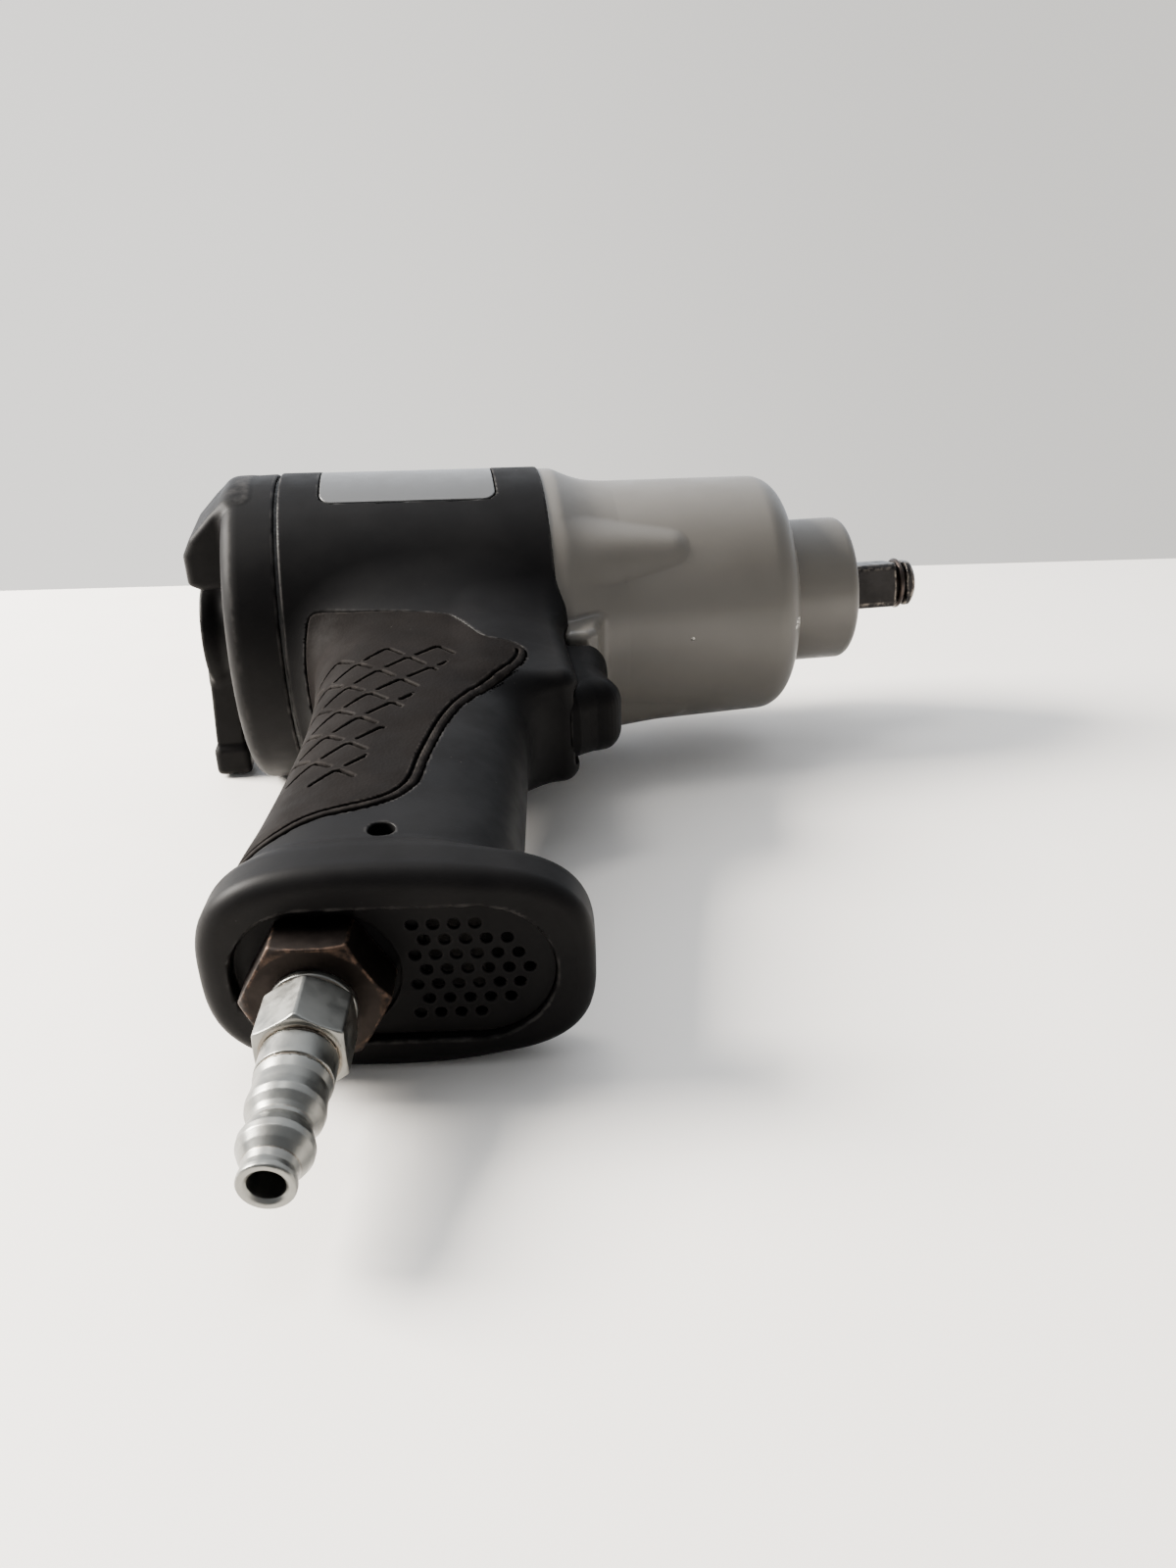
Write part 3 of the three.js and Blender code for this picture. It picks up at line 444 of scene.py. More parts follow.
# ---------------------------------------------------------------- the soft grip
BEAD_IN = 1.8  # how far the second line of the grip's border runs inside its edge
BEAD_FROM_S = 68  # it runs below the grip's foremost point only
GROOVE_DEEP = 0.8
GROOVE_HALF = 0.42
LATTICE_COLUMNS = {-2: 5, -1: 5, 0: 5, 1: 6, 2: 5, 3: 4, 4: 2}  # how many chevrons stand in each column
LATTICE_STEP = (5.9, 11.45)  # from column to column in t, and from row to row in s


def chevrons():
    """The grip's lattice: staggered columns of open chevrons, with a long back leg and a short front leg."""
    for column, count in LATTICE_COLUMNS.items():
        first = 69.3 if column % 2 else 75.0
        for row in range(count):
            s = first + row * LATTICE_STEP[1]
            t = -41.5 + column * LATTICE_STEP[0] - 0.05 * (s - 75)
            yield [(t - 4.6, s + 4.2), (t - 0.6, s + 0.2), (t + 0.4, s + 0.2), (t + 3.7, s + 3.5)]


def grip_grooves(s, t):
    lines = np.minimum.reduce([path_distance(t, s, line) for line in chevrons()]) - GROOVE_HALF
    fades_at = -20.4 - 0.42 * (s - 76) + 0.003 * (s - 76) ** 2
    return common(lines, (t - fades_at) * 0.9)


def grip_overmold(x, y, z):
    s, t = handle_frame(x, z)
    outside = body(x, y, z)
    region = grip_region(s, t)
    skin = common(outside - GRIP_PROUD, -(outside + GRIP_DEPTH))
    piece = common(common(skin, region, 0.6), GRIP_TOP_S - s)
    shallow = -(outside + GROOVE_DEEP)
    border = common(np.abs(region + BEAD_IN) - 0.35, BEAD_FROM_S - s)
    piece = cut(piece, common(border, shallow), 0.25)
    piece = cut(piece, common(grip_grooves(s, t), shallow), 0.3)
    return cut(piece, handle_pockets(s, t, y))


# ---------------------------------------------------------------- rear cover, lever and screws
HUMP = [(-77, 17), (-77, 43), (-81, 41.6), (-87.5, 36), (-93, 30.5), (-95.4, 26), (-95.4, 18), (-92, 16.2)]
HUMP_HALF = 13
HUB_R = 14.2  # clear of the hump, whose lower edge stands at 16.2


def rear_cover(x, y, z):
    rho = np.hypot(y, z)
    cap = common(common(rho - REAR_R, BACK_X - x, 5), x - SEAM_X + 0.45, 0.7)
    hump = common(polygon(x, -y, HUMP, 1.8), np.abs(z) - HUMP_HALF, 2.4)
    hump = common(hump, rho - REAR_R + 0.1, 1.5)
    inside = common(rho - 36, -78 - x, 2)
    shell = cut(common(union(cap, hump, 2), rho - REAR_R, 0.7), inside, 0.4)
    posts = common(screw_holes(x, y, z, 4.6), along(x, -79.5, SEAM_X - 0.7))
    shell = union(shell, posts, 0.8)
    holes = union(screw_holes(x, y, z, 2.3), common(screw_holes(x, y, z, 4), x + 79))
    return cut(cut(shell, holes, 0.3), rod(x, rho, -90, -70, 6))


def direction_lever(x, y, z):
    y, z = turned_to(y, z, -math.degrees(LEVER_TILT))
    rho = np.hypot(y, z)
    waist = HUB_R - 1.1 * np.exp(-((x + 89.2) / 2.6) ** 2)
    hub = common(rho - waist, along(x, -94.3, -84.4), 0.9)
    shaft = rod(x, rho, -85, -79.8, 5.6, 0.3)
    arm_points = [(-94.5, 4), (-95.3, 12), (-96.4, 30), (-96.4, 41), (-88.6, 41), (-88.6, 12), (-89, 4)]
    taper = 6.6 - 0.9 * np.clip((y - 10) / 24, 0, 1)
    arm = common(common(polygon(x, y, arm_points, 0.9), np.abs(z) - taper, 1), y - 40.6, 0.8)
    tab = common(box(x, y, z, -97.4, -87.6, 32, 41, -7.2, 7.2, 2), np.hypot(y, z) - 41.4, 1)
    piece = union(union(union(hub, arm, 2.2), tab, 1), shaft)
    return cut(cut(piece, rod(x, rho, -98, -78, 2)), rod(x, rho, -98, -92.5, 3.9), 0.4)


def lever_screw(x, y, z):
    y, z = turned_to(y, z, -math.degrees(LEVER_TILT))
    rho = np.hypot(y, z)
    head = common(rho - 3.5, along(x, -95, -92.8), 0.6)
    screw = union(head, rod(x, rho, -93, -74, 1.7, 0.3), 0.2)
    return cut(screw, common(hexagon(y, z, 2.6), x + 93.6), 0.1)


def case_screw(degrees):
    def field(x, y, z):
        v, w = turned_to(y, z, degrees)
        rho = np.hypot(v, w - SCREW_CIRCLE_R)
        head = common(rho - 3.6, along(x, -83, -79.3), 0.5)
        thread = 0.12 * np.sin(x * 2 * math.pi / 0.8 + np.arctan2(v, w - SCREW_CIRCLE_R)) * (x > -1)
        screw = union(head, rod(x, rho - thread, -80, 14.8, 1.8, 0.4), 0.3)
        return cut(screw, common(hexagon(v, w - SCREW_CIRCLE_R, 3), x + 80.6), 0.15)
    return field


# ---------------------------------------------------------------- hammer case, anvil and its ring
CASE_TABLE = np.array(smooth_loop([
    (-3, 39.1), (0.3, 39.1), (3.4, 38.9), (6, 37.8), (9, 36.5), (13, 35.3), (18, 34.7), (24, 34.5),
    (SHOULDER_X, CASE_END_R), (75, 33.1),
], 6, closed=False)).T
FAIRING = {"x": (0.3, 33.0), "radius": (14.5, 4.6), "top": (38.7, 35.1)}
CASE_RIM_R = 39.2  # the case stays just inside the barrel's rim
LUG = [(0.3, -31), (0.3, -46.2), (6.6, -46.2), (9.2, -43.6), (10.4, -38.5), (14, -31)]


def hammer_case(x, y, z):
    rho = np.hypot(y, z)
    shell = (rho - np.interp(x, *CASE_TABLE)) * 0.97
    shell = common(shell, x - SHOULDER_X - 6.3, 8)
    nose = common(rho - NOSE_R, x - NOSE_X, 2.8)
    shell = union(shell, nose, 2.6)
    x0, x1 = FAIRING["x"]
    radius, top = (np.interp(x, (x0, x1), FAIRING[k]) for k in ("radius", "top"))
    for a in SCREW_ANGLES:
        v, w = turned_to(y, z, a)
        fairing = common(np.hypot(v, w + radius - top) - radius, x - x1 - 3, 4)
        shell = union(shell, fairing, 2)
    shell = common(shell, rho - CASE_RIM_R, 0.5)
    lug = common(polygon(x, z, LUG, 1.8), np.abs(y) - 10.5, 2.2)
    shell = union(shell, lug, 1.2)
    shell = common(shell, union(-0.5 - x, common(rho - 36.8, -2 - x)), 0.3)
    cavity = common(common(rho - 30, x - 52.4, 2), -3 - x)
    bore = union(rod(x, rho, 40, 95, 14.9), rod(x, rho, 50, 54.5, 17.5))
    shell = cut(shell, union(cavity, bore), 0.4)
    return cut(shell, common(screw_holes(x, y, z, 2.3), along(x, -5, 16)))


def anvil(x, y, z):
    rho = np.hypot(y, z)
    shank = common(union(rod(x, rho, 12.4, 50, 9), rod(x, rho, 50, 88, 11.3), 0), along(x, 12.4, 88), 0.5)
    collar = rod(x, rho, 44, 50, 14.6, 0.4)
    jaws = common(common(rho - 12.6, np.abs(y) - 5), along(x, 16.5, 44.5), 0.4)
    a = DRIVE_TURN
    v, w = y * math.cos(a) + z * math.sin(a), z * math.cos(a) - y * math.sin(a)
    square = common(np.abs(v) - DRIVE / 2, np.abs(w) - DRIVE / 2, 0.4)
    limit = np.interp(x, [86, 102.6, 103, 105.8, 106.1, 107.6, TIP_X], [8.2, 8.2, 5.6, 5.6, 7.1, 7.0, 5.4])
    square = common(common(square, rho - limit, 0.35), along(x, 80, TIP_X), 0.7)
    return union(union(union(shank, collar), jaws, 0.4), square, 0.8)


RING_X = 104.4
RING_R = 6.55
RING_WIRE_R = 0.72
RING_GAP_ANGLE = 60


def friction_ring(x, y, z):
    ring = np.hypot(np.hypot(y, z) - RING_R, x - RING_X) - RING_WIRE_R
    across, outwards = turned_to(y, z, RING_GAP_ANGLE)
    gap = common(np.abs(across) - 1.4, -outwards)
    return cut(ring, gap, 0.2)


# ---------------------------------------------------------------- trigger
TRIGGER_EDGE = smooth_loop([
    (-4, -46.4), (3, -46.4), (7.6, -47.2), (9.8, -50.6), (9.4, -57), (8.5, -62.5), (9.6, -67.6),
    (10.4, -71.6), (8.6, -75.4), (4, -76.7), (-4, -76.8),
], 4)


def trigger(x, y, z):
    face = common(outline(x, z, TRIGGER_EDGE), np.abs(y) - TRIGGER_HALF, 6)
    return cut(common(face, -3.4 - x, 0.4), rod(x, np.hypot(y, z - STEM_Z), -6, -1, 2.6))


# ---------------------------------------------------------------- exhaust plate, inlet nut and air plug
HOLE_ROWS = (4, 5, 6, 6, 6, 5, 4)  # each row runs forward from the back one, in a staggered grid
HOLE_BACK_T = -20.7
HOLE_PITCH = 3.5
HOLE_ROW_STEP = 3.1
HOLE_R = 1.05
NUT_POCKET_R = 13.3
FACE_S = BASE_S + 7  # front face of the inlet nut
NUT_ACROSS = 22.2
PLUG_ACROSS = 14.3
PLUG = [  # distance below that face, and radius
    (-13, 0), (-13, 6.1), (-12, 6.5), (-0.9, 6.5), (-0.5, 7.1), (0.4, 7.3), (1.3, 7.3), (1.9, 6.6),
    (12.2, 6.6), (12.9, 6.15), (18.2, 6.15), (20.4, 5.75), (22.4, 5.85), (24.2, 6.05), (25.4, 5.85),
    (26.7, 5.1), (27.6, 4.75), (28.5, 4.75), (29.7, 5.3), (31, 5.7), (32.3, 5.65), (33.7, 5.0), (35, 4.2),
    (36.4, 4.05), (37.5, 4.3), (38.3, 4.3), (38.6, 4.05), (38.6, 0),
]
PLUG_HEX = (1.9, 12.5)  # how far below that face its hexagon runs
PLUG_GROOVES = (12.85, 18.2)


def hole_spots():
    for row, count in enumerate(HOLE_ROWS):
        y = (row - (len(HOLE_ROWS) - 1) / 2) * HOLE_ROW_STEP
        for k in range(count):
            yield HOLE_BACK_T + (k + row % 2 / 2) * HOLE_PITCH, y


def exhaust_deflector(x, y, z):
    s, t = handle_frame(x, z)
    edge = common(face_outline(t, y, 0.08), PLATE_BACK_T - t)
    sheet = common(edge, along(s, BASE_S - FACE_RECESS + 0.3, BASE_S - 1.3), 0.25)
    holes = np.minimum.reduce([np.hypot(t - u, y - v) for u, v in hole_spots()]) - HOLE_R
    return cut(cut(sheet, valve_axis(s, t, y) - NUT_POCKET_R, 0.25), holes, 0.2)


def inlet_bushing(x, y, z):
    s, t = handle_frame(x, z)
    rho = valve_axis(s, t, y)
    nut = common(hexagon(t - VALVE_T, y, NUT_ACROSS, SIXTH / 2), along(s, BASE_S - 2, FACE_S))
    cone = (rho - 11.3 - (FACE_S - s) * 1.5) * 0.55
    back_cone = (rho - 12 - (s - BASE_S + 2) * 1.6) * 0.55
    nut = common(common(nut, cone, 0.35), back_cone, 0.3)
    neck = 10 - 3 * (np.abs(s - PIN_SPOT[0]) < 3.1)
    piece = union(common(rho - neck, along(s, 141.4, BASE_S)), nut)
    bore = union(rod(s, rho, 140, 180, 4.6), rod(s, rho, 160, 180, 6.8))
    return cut(piece, bore, 0.3)


def air_plug(x, y, z):
    s, t = handle_frame(x, z)
    rho = valve_axis(s, t, y)
    turned = polygon(s - FACE_S, rho, [(a, b if b else -5) for a, b in PLUG], 0.25)
    s0, s1 = (FACE_S + d for d in PLUG_HEX)
    nut = common(hexagon(t - VALVE_T, y, PLUG_ACROSS), along(s, s0, s1))
    chamfer = np.maximum(rho - 7.3 - (s1 - s) * 1.6, rho - 7.3 - (s - s0) * 1.6) * 0.55
    plug = union(turned, common(nut, chamfer, 0.25), 0.2)
    for d in PLUG_GROOVES:
        plug = cut(plug, common(along(s, FACE_S + d - 0.25, FACE_S + d + 0.25), 5.85 - rho), 0.1)
    bore = common(rho - 2.7, s - FACE_S - 40)
    return cut(plug, union(bore, common(rho - 2.7 - (s - FACE_S - 38), s - FACE_S - 40)), 0.2)


def bushing_pin(x, y, z):
    s, t = handle_frame(x, z)
    return common(np.hypot(s - PIN_SPOT[0], t - PIN_SPOT[1]) - 2.2, np.abs(y) - 14.4, 0.5)


# ---------------------------------------------------------------- materials
class Look:
    """A material and its nodes. Each method adds nodes and gives back the socket to use."""

    def __init__(self, name, metallic=0.0, **fixed):
        self.material = bpy.data.materials.new(name)
        self.material.use_nodes = True
        self.nodes = self.material.node_tree.nodes
        self.links = self.material.node_tree.links
        self.shader = self.nodes["Principled BSDF"]
        self.shader.inputs["Metallic"].default_value = metallic
        for socket, value in fixed.items():
            self.shader.inputs[socket.replace("_", " ")].default_value = value
        self.place = self.nodes.new("ShaderNodeTexCoord").outputs["Object"]

    def join(self, socket, value):
        if isinstance(value, bpy.types.NodeSocket):
            self.links.new(value, socket)
        elif value is not None:
            socket.default_value = (*value, 1) if isinstance(value, tuple) and len(value) == 3 else value

    def noise(self, scale, detail=3.0, rough=0.55, stretch=None):
        node = self.nodes.new("ShaderNodeTexNoise")
        node.inputs["Scale"].default_value = scale
        node.inputs["Detail"].default_value = detail
        node.inputs["Roughness"].default_value = rough
        self.links.new(self.stretched(stretch) if stretch else self.place, node.inputs["Vector"])
        return node.outputs["Fac"]

    def stretched(self, scale):
        node = self.nodes.new("ShaderNodeMapping")
        node.inputs["Scale"].default_value = scale
        self.links.new(self.place, node.inputs["Vector"])
        return node.outputs["Vector"]

    def cells(self, scale, feature="F1"):
        node = self.nodes.new("ShaderNodeTexVoronoi")
        node.feature = feature
        node.inputs["Scale"].default_value = scale
        self.links.new(self.place, node.inputs["Vector"])
        return node.outputs["Distance"]

    def bend(self):
        """How sharply the surface bends: above 0 on outer edges, below 0 in grooves."""
        node = self.nodes.new("ShaderNodeAttribute")
        node.attribute_name = "bend"
        return node.outputs["Fac"]

    def spread(self, value, low, high, to_low=0.0, to_high=1.0):
        node = self.nodes.new("ShaderNodeMapRange")
        node.interpolation_type = "SMOOTHSTEP"
        for socket, v in zip(("Value", "From Min", "From Max", "To Min", "To Max"),
                             (value, low, high, to_low, to_high)):
            self.join(node.inputs[socket], v)
        return node.outputs["Result"]

    def sum(self, operation, a, b):
        node = self.nodes.new("ShaderNodeMath")
        node.operation = operation
        self.join(node.inputs[0], a)
        self.join(node.inputs[1], b)
        return node.outputs[0]

    def mix(self, share, a, b):
        node = self.nodes.new("ShaderNodeMix")
        node.data_type = "RGBA"
        self.join(node.inputs["Factor"], share)
        self.join(node.inputs[6], a)
        self.join(node.inputs[7], b)
        return node.outputs[2]

    def near(self, spot, radius):
        """1 inside a ball round a place on the tool, 0 outside, with a soft edge."""
        node = self.nodes.new("ShaderNodeVectorMath")
        node.operation = "DISTANCE"
        self.links.new(self.place, node.inputs[0])
        node.inputs[1].default_value = to_world(spot)
        return self.spread(node.outputs["Value"], radius / 1000, radius / 2000)

    def bump(self, height, deep_mm, after=None):
        node = self.nodes.new("ShaderNodeBump")
        node.inputs["Distance"].default_value = deep_mm / 1000
        self.links.new(height, node.inputs["Height"])
        if after is not None:
            self.links.new(after, node.inputs["Normal"])
        return node.outputs["Normal"]

    def finish(self, colour, roughness, normal_map=None, metallic=None):
        self.join(self.shader.inputs["Base Color"], colour)
        self.join(self.shader.inputs["Roughness"], roughness)
        if normal_map is not None:
            self.links.new(normal_map, self.shader.inputs["Normal"])
        if metallic is not None:
            self.join(self.shader.inputs["Metallic"], metallic)
        return self.material


def to_world(spot):
    return ORIGIN + Matrix(TO_WORLD.tolist()) @ Vector(spot)


def moulded(name, dark, light, rough=(0.46, 0.6), rub=0.4, dust=0.5):
    """Glass-filled nylon: fine grain, faint flow marks, rubbed outer edges and a little dust."""
    k = Look(name, Specular_IOR_Level=0.06)
    patches = k.spread(k.noise(55, 4), 0.35, 0.7)
    colour = k.mix(patches, dark, light)
    rubbed = k.sum("MULTIPLY", k.spread(k.bend(), 0.3, 1.3), k.spread(k.noise(260, 3), 0.35, 0.7))
    colour = k.mix(k.sum("MULTIPLY", rubbed, rub), colour, (0.05, 0.047, 0.045))
    dusty = k.sum("MULTIPLY", k.spread(k.bend(), -0.3, -1.4), k.spread(k.noise(420, 4), 0.45, 0.7))
    colour = k.mix(k.sum("MULTIPLY", dusty, 0.25 * dust), colour, (0.06, 0.054, 0.048))
    specks = k.sum("MULTIPLY", k.spread(k.cells(330), 0.07, 0.02), k.spread(k.noise(40, 2), 0.56, 0.72))
    colour = k.mix(k.sum("MULTIPLY", specks, 0.8 * dust), colour, (0.16, 0.145, 0.13))
    roughness = k.spread(k.noise(90, 4), 0.3, 0.75, *rough)
    grainy = k.bump(k.noise(2600, 2), 0.012)
    scratches = k.spread(k.noise(120, 5, 0.7, stretch=(0.3, 5, 5)), 0.62, 0.7)
    return k.finish(colour, roughness, k.bump(scratches, 0.006, grainy))


def soft_grip():
    """Overmoulded rubber: matt, finely pebbled, brownish, with lint and rubbed patches, and painted shade
    darkening its grooves.
    """
    k = Look("grip_rubber_look", Specular_IOR_Level=0.045)
    colour = k.mix(k.spread(k.noise(70, 4), 0.35, 0.7), (0.0043, 0.0034, 0.0031), (0.0064, 0.0051, 0.0046))
    # painted shade: every groove and hollow is darkened evenly, as if in shadow
    deep = k.spread(k.bend(), -0.1, -0.9)
    colour = k.mix(k.sum("MULTIPLY", deep, 0.75), colour, (0.0025, 0.0022, 0.002))
    high = k.sum("MULTIPLY", k.spread(k.bend(), 0.25, 1.1), k.spread(k.noise(300, 3), 0.35, 0.65))
    colour = k.mix(k.sum("MULTIPLY", high, 0.5), colour, (0.022, 0.019, 0.017))
    lint = k.sum("MULTIPLY", k.spread(k.cells(420), 0.08, 0.03), k.spread(k.noise(60, 2), 0.58, 0.7))
    colour = k.mix(k.sum("MULTIPLY", lint, 0.6), colour, (0.11, 0.1, 0.09))
    roughness = k.spread(k.noise(110, 3), 0.3, 0.7, 0.66, 0.86)
    pebbles = k.bump(k.cells(1700, "SMOOTH_F1"), 0.05)
    return k.finish(colour, roughness, k.bump(k.noise(500, 3), 0.02, pebbles))


CHIPS = (((66.2, -2.0, -30.0), 1.5), ((35.9, -1.5, -34.1), 0.5))  # places on the case and their radii


def case_paint():
    """Satin enamel on a casting: slight orange peel, with two chips down to bare metal."""
    k = Look("grey_paint_look", Coat_Weight=0.1, Coat_Roughness=0.2, Specular_IOR_Level=0.4)
    colour = k.mix(k.spread(k.noise(28, 3), 0.3, 0.7), (0.095, 0.088, 0.077), (0.11, 0.102, 0.09))
    dirty = k.sum("MULTIPLY", k.spread(k.bend(), -0.05, -0.5), k.spread(k.noise(150, 4), 0.35, 0.65))
    colour = k.mix(k.sum("MULTIPLY", dirty, 0.35), colour, (0.07, 0.062, 0.054))
    specks = k.sum("MULTIPLY", k.spread(k.cells(210), 0.05, 0.015), k.spread(k.noise(33, 2), 0.6, 0.7))
    colour = k.mix(k.sum("MULTIPLY", specks, 0.4), colour, (0.05, 0.045, 0.04))
    chipped = None
    for spot, radius in CHIPS:
        ragged = k.sum("ADD", k.near(spot, radius * 1.6), k.spread(k.noise(900, 3), 0.3, 0.7, -0.35, 0.35))
        chip = k.spread(ragged, 0.62, 0.7)
        chipped = chip if chipped is None else k.sum("MAXIMUM", chipped, chip)
    metal = k.mix(k.spread(k.noise(1500, 2), 0.4, 0.6), (0.05, 0.045, 0.04), (0.75, 0.72, 0.66))
    colour = k.mix(chipped, colour, metal)
    roughness = k.spread(k.noise(60, 3), 0.3, 0.7, 0.36, 0.48)
    peel = k.bump(k.noise(420, 2), 0.02)
    return k.finish(colour, roughness, k.bump(k.sum("SUBTRACT", 1.0, chipped), 0.08, peel))


def blackened_steel(name, base, worn, wear, metallic=0.85, rough=(0.3, 0.46)):
    """Black oxide, worn through to steel on the outer edges."""
    k = Look(name, metallic=metallic)
    colour = k.mix(k.spread(k.noise(180, 4), 0.3, 0.7), base, tuple(1.7 * c for c in base))
    edge = k.sum("MULTIPLY", k.spread(k.bend(), 0.5, 1.7), k.spread(k.noise(650, 4), 0.38, 0.66))
    scuffs = k.sum("MULTIPLY", k.spread(k.noise(900, 4, 0.7, stretch=(3, 0.5, 0.5)), 0.66, 0.74), 0.2)
    colour = k.mix(k.sum("MULTIPLY", k.sum("MAXIMUM", edge, scuffs), wear), colour, worn)
    rust = k.sum("MULTIPLY", k.spread(k.bend(), -0.2, -1.2), k.spread(k.noise(300, 4), 0.45, 0.7))
    colour = k.mix(k.sum("MULTIPLY", rust, 0.4), colour, (0.1, 0.045, 0.02))
    roughness = k.spread(k.noise(400, 4), 0.3, 0.7, *rough)
    return k.finish(colour, roughness, k.bump(k.noise(1400, 3), 0.012))


def bright_steel(name, base, tarnish, dull=0.12, rough=(0.28, 0.44)):
    """Plated or ground steel: soft grey patches, with tarnish in its hollows."""
    k = Look(name, metallic=1.0)
    colour = k.mix(k.spread(k.noise(140, 4), 0.35, 0.7), base, tuple(0.86 * c for c in base))
    hollow = k.sum("MULTIPLY", k.spread(k.bend(), -0.1, -1.0), k.spread(k.noise(380, 4), 0.2, 0.55))
    stains = k.sum("MULTIPLY", k.spread(k.noise(110, 4, 0.6), 0.5, 0.75), dull)
    colour = k.mix(k.sum("MAXIMUM", k.sum("MULTIPLY", hollow, 0.8), stains), colour, tarnish)
    roughness = k.spread(k.noise(300, 4), 0.3, 0.7, *rough)
    return k.finish(colour, roughness, k.bump(k.noise(1500, 3), 0.005))


def badge_face():
    """A blank printed badge: smooth grey face, faintly mottled, with fine rub marks."""
    k = Look("badge_look", Coat_Weight=0.3, Coat_Roughness=0.2)
    colour = k.mix(k.spread(k.noise(80, 4), 0.35, 0.7), (0.038, 0.039, 0.039), (0.047, 0.048, 0.048))
    rim = k.sum("MULTIPLY", k.spread(k.bend(), 0.2, 0.9), 0.5)
    colour = k.mix(rim, colour, (0.06, 0.06, 0.06))
    marks = k.sum("MULTIPLY", k.spread(k.noise(300, 5, 0.7, stretch=(0.4, 4, 4)), 0.62, 0.72), 0.3)
    colour = k.mix(marks, colour, (0.07, 0.07, 0.07))
    return k.finish(colour, k.spread(k.noise(150, 3), 0.3, 0.7, 0.34, 0.46), k.bump(k.noise(900, 2), 0.004))


def plain_resin():
    k = Look("blade_resin_look")
    weave = k.spread(k.cells(1200), 0.1, 0.5)
    return k.finish(k.mix(weave, (0.11, 0.05, 0.02), (0.2, 0.1, 0.045)), k.spread(weave, 0, 1, 0.45, 0.6),
                    k.bump(weave, 0.02))


def felt():
    k = Look("filter_look")
    fibres = k.noise(1600, 6, 0.7, stretch=(1, 1, 3))
    colour = k.mix(fibres, (0.012, 0.011, 0.01), (0.03, 0.027, 0.024))
    return k.finish(colour, k.spread(fibres, 0.3, 0.7, 0.85, 1.0), k.bump(fibres, 0.2))


def seal():
    k = Look("seal_rubber_look")
    patches = k.noise(600, 3)
    return k.finish(k.mix(patches, (0.008, 0.008, 0.008), (0.02, 0.02, 0.02)),
                    k.spread(patches, 0.3, 0.7, 0.6, 0.8), k.bump(k.noise(2400, 2), 0.01))


LOOKS = {
    "black_composite": moulded("black_composite_look", (0.0036, 0.0034, 0.0036), (0.0056, 0.0053, 0.0054)),
    "plate": moulded("plate_look", (0.0034, 0.0032, 0.0034), (0.0052, 0.0049, 0.005), rub=0.05, dust=0.3),
    "trigger_plastic": moulded("trigger_plastic_look", (0.0034, 0.0032, 0.0034), (0.005, 0.0047, 0.0047),
                               rough=(0.46, 0.6), dust=0.3),
    "grip_rubber": soft_grip(),
    "grey_paint": case_paint(),
    "badge": badge_face(),
    "black_steel": blackened_steel("black_steel_look", (0.02, 0.0185, 0.018), (0.3, 0.26, 0.22), 0.8),
    "nut": blackened_steel("worn_nut_look", (0.011, 0.0088, 0.0078), (0.11, 0.07, 0.05), 0.6, metallic=1.0,
                           rough=(0.5, 0.62)),
    "spring_steel": bright_steel("spring_steel_look", (0.07, 0.055, 0.048), (0.03, 0.018, 0.012),
                                 rough=(0.3, 0.45)),
    "machined_steel": bright_steel("machined_steel_look", (0.5, 0.5, 0.49), (0.25, 0.23, 0.2)),
    "zinc_plate": bright_steel("zinc_plate_look", (0.215, 0.215, 0.2), (0.12, 0.095, 0.07), dull=0.35,
                               rough=(0.3, 0.44)),
    "bronze": bright_steel("bronze_look", (0.5, 0.33, 0.15), (0.2, 0.12, 0.05), rough=(0.3, 0.5)),
    "seal_rubber": seal(),
    "blade_resin": plain_resin(),
    "filter": felt(),
}


# ---------------------------------------------------------------- the pieces
def body_of(node):
    return next(name for name, nodes in frame["record"]["behaviour"]["bodies"].items() if node in nodes)


def slot_of(node):
    return next(p["material_slot"] for p in frame["record"]["subparts"] if p["node"] == node)


def in_tool(node):
    """Lowest and highest corner of a CAD node in the tool's frame, in millimetres."""
    points = np.array([v.co for v in frame["nodes"][node].data.vertices])
    local = (points - np.array(ORIGIN)) @ TO_WORLD * 1e6
    return local.min(0), local.max(0)


def shaped(node, field, step, look=None, grow=0.6):
    lo, hi = in_tool(node)
    return surface(node + "_shape", field, lo - grow, hi + grow, step, body_of(node), [node], slot_of(node),
                   LOOKS[look or slot_of(node)])


shaped("motor_housing", motor_housing, 0.62)
shaped("grip_overmold", grip_overmold, 0.42)
shaped("rear_cover", rear_cover, 0.5)
shaped("hammer_case", hammer_case, 0.6)
shaped("direction_lever", direction_lever, 0.35, grow=3)
shaped("lever_screw", lever_screw, 0.22)
shaped("anvil", anvil, 0.33)
shaped("friction_ring", friction_ring, 0.16)
shaped("trigger", trigger, 0.38)
shaped("exhaust_deflector", exhaust_deflector, 0.26, "plate")
shaped("inlet_bushing", inlet_bushing, 0.33, "nut")
shaped("air_plug", air_plug, 0.26)
shaped("bushing_pin", bushing_pin, 0.3)
for number, angle in enumerate(SCREW_ANGLES):
    shaped(f"case_screw_{number + 1}", case_screw(angle), 0.33)
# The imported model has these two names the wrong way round: label_plate_left is on the tool's right side.
for side, name in ((1, "label_plate_right"), (-1, "label_plate_left")):
    shaped(name, lambda x, y, z, side=side: badge(x, y, z, side, 0, 0.8, -0.1), 0.35)

for name, node in frame["nodes"].items():
    if not node.hide_render:
        node.data.materials.clear()
        node.data.materials.append(LOOKS[slot_of(name)])
        node.data.polygons.foreach_set("use_smooth", np.ones(len(node.data.polygons), bool))
        node.data.set_sharp_from_angle(angle=math.radians(35))


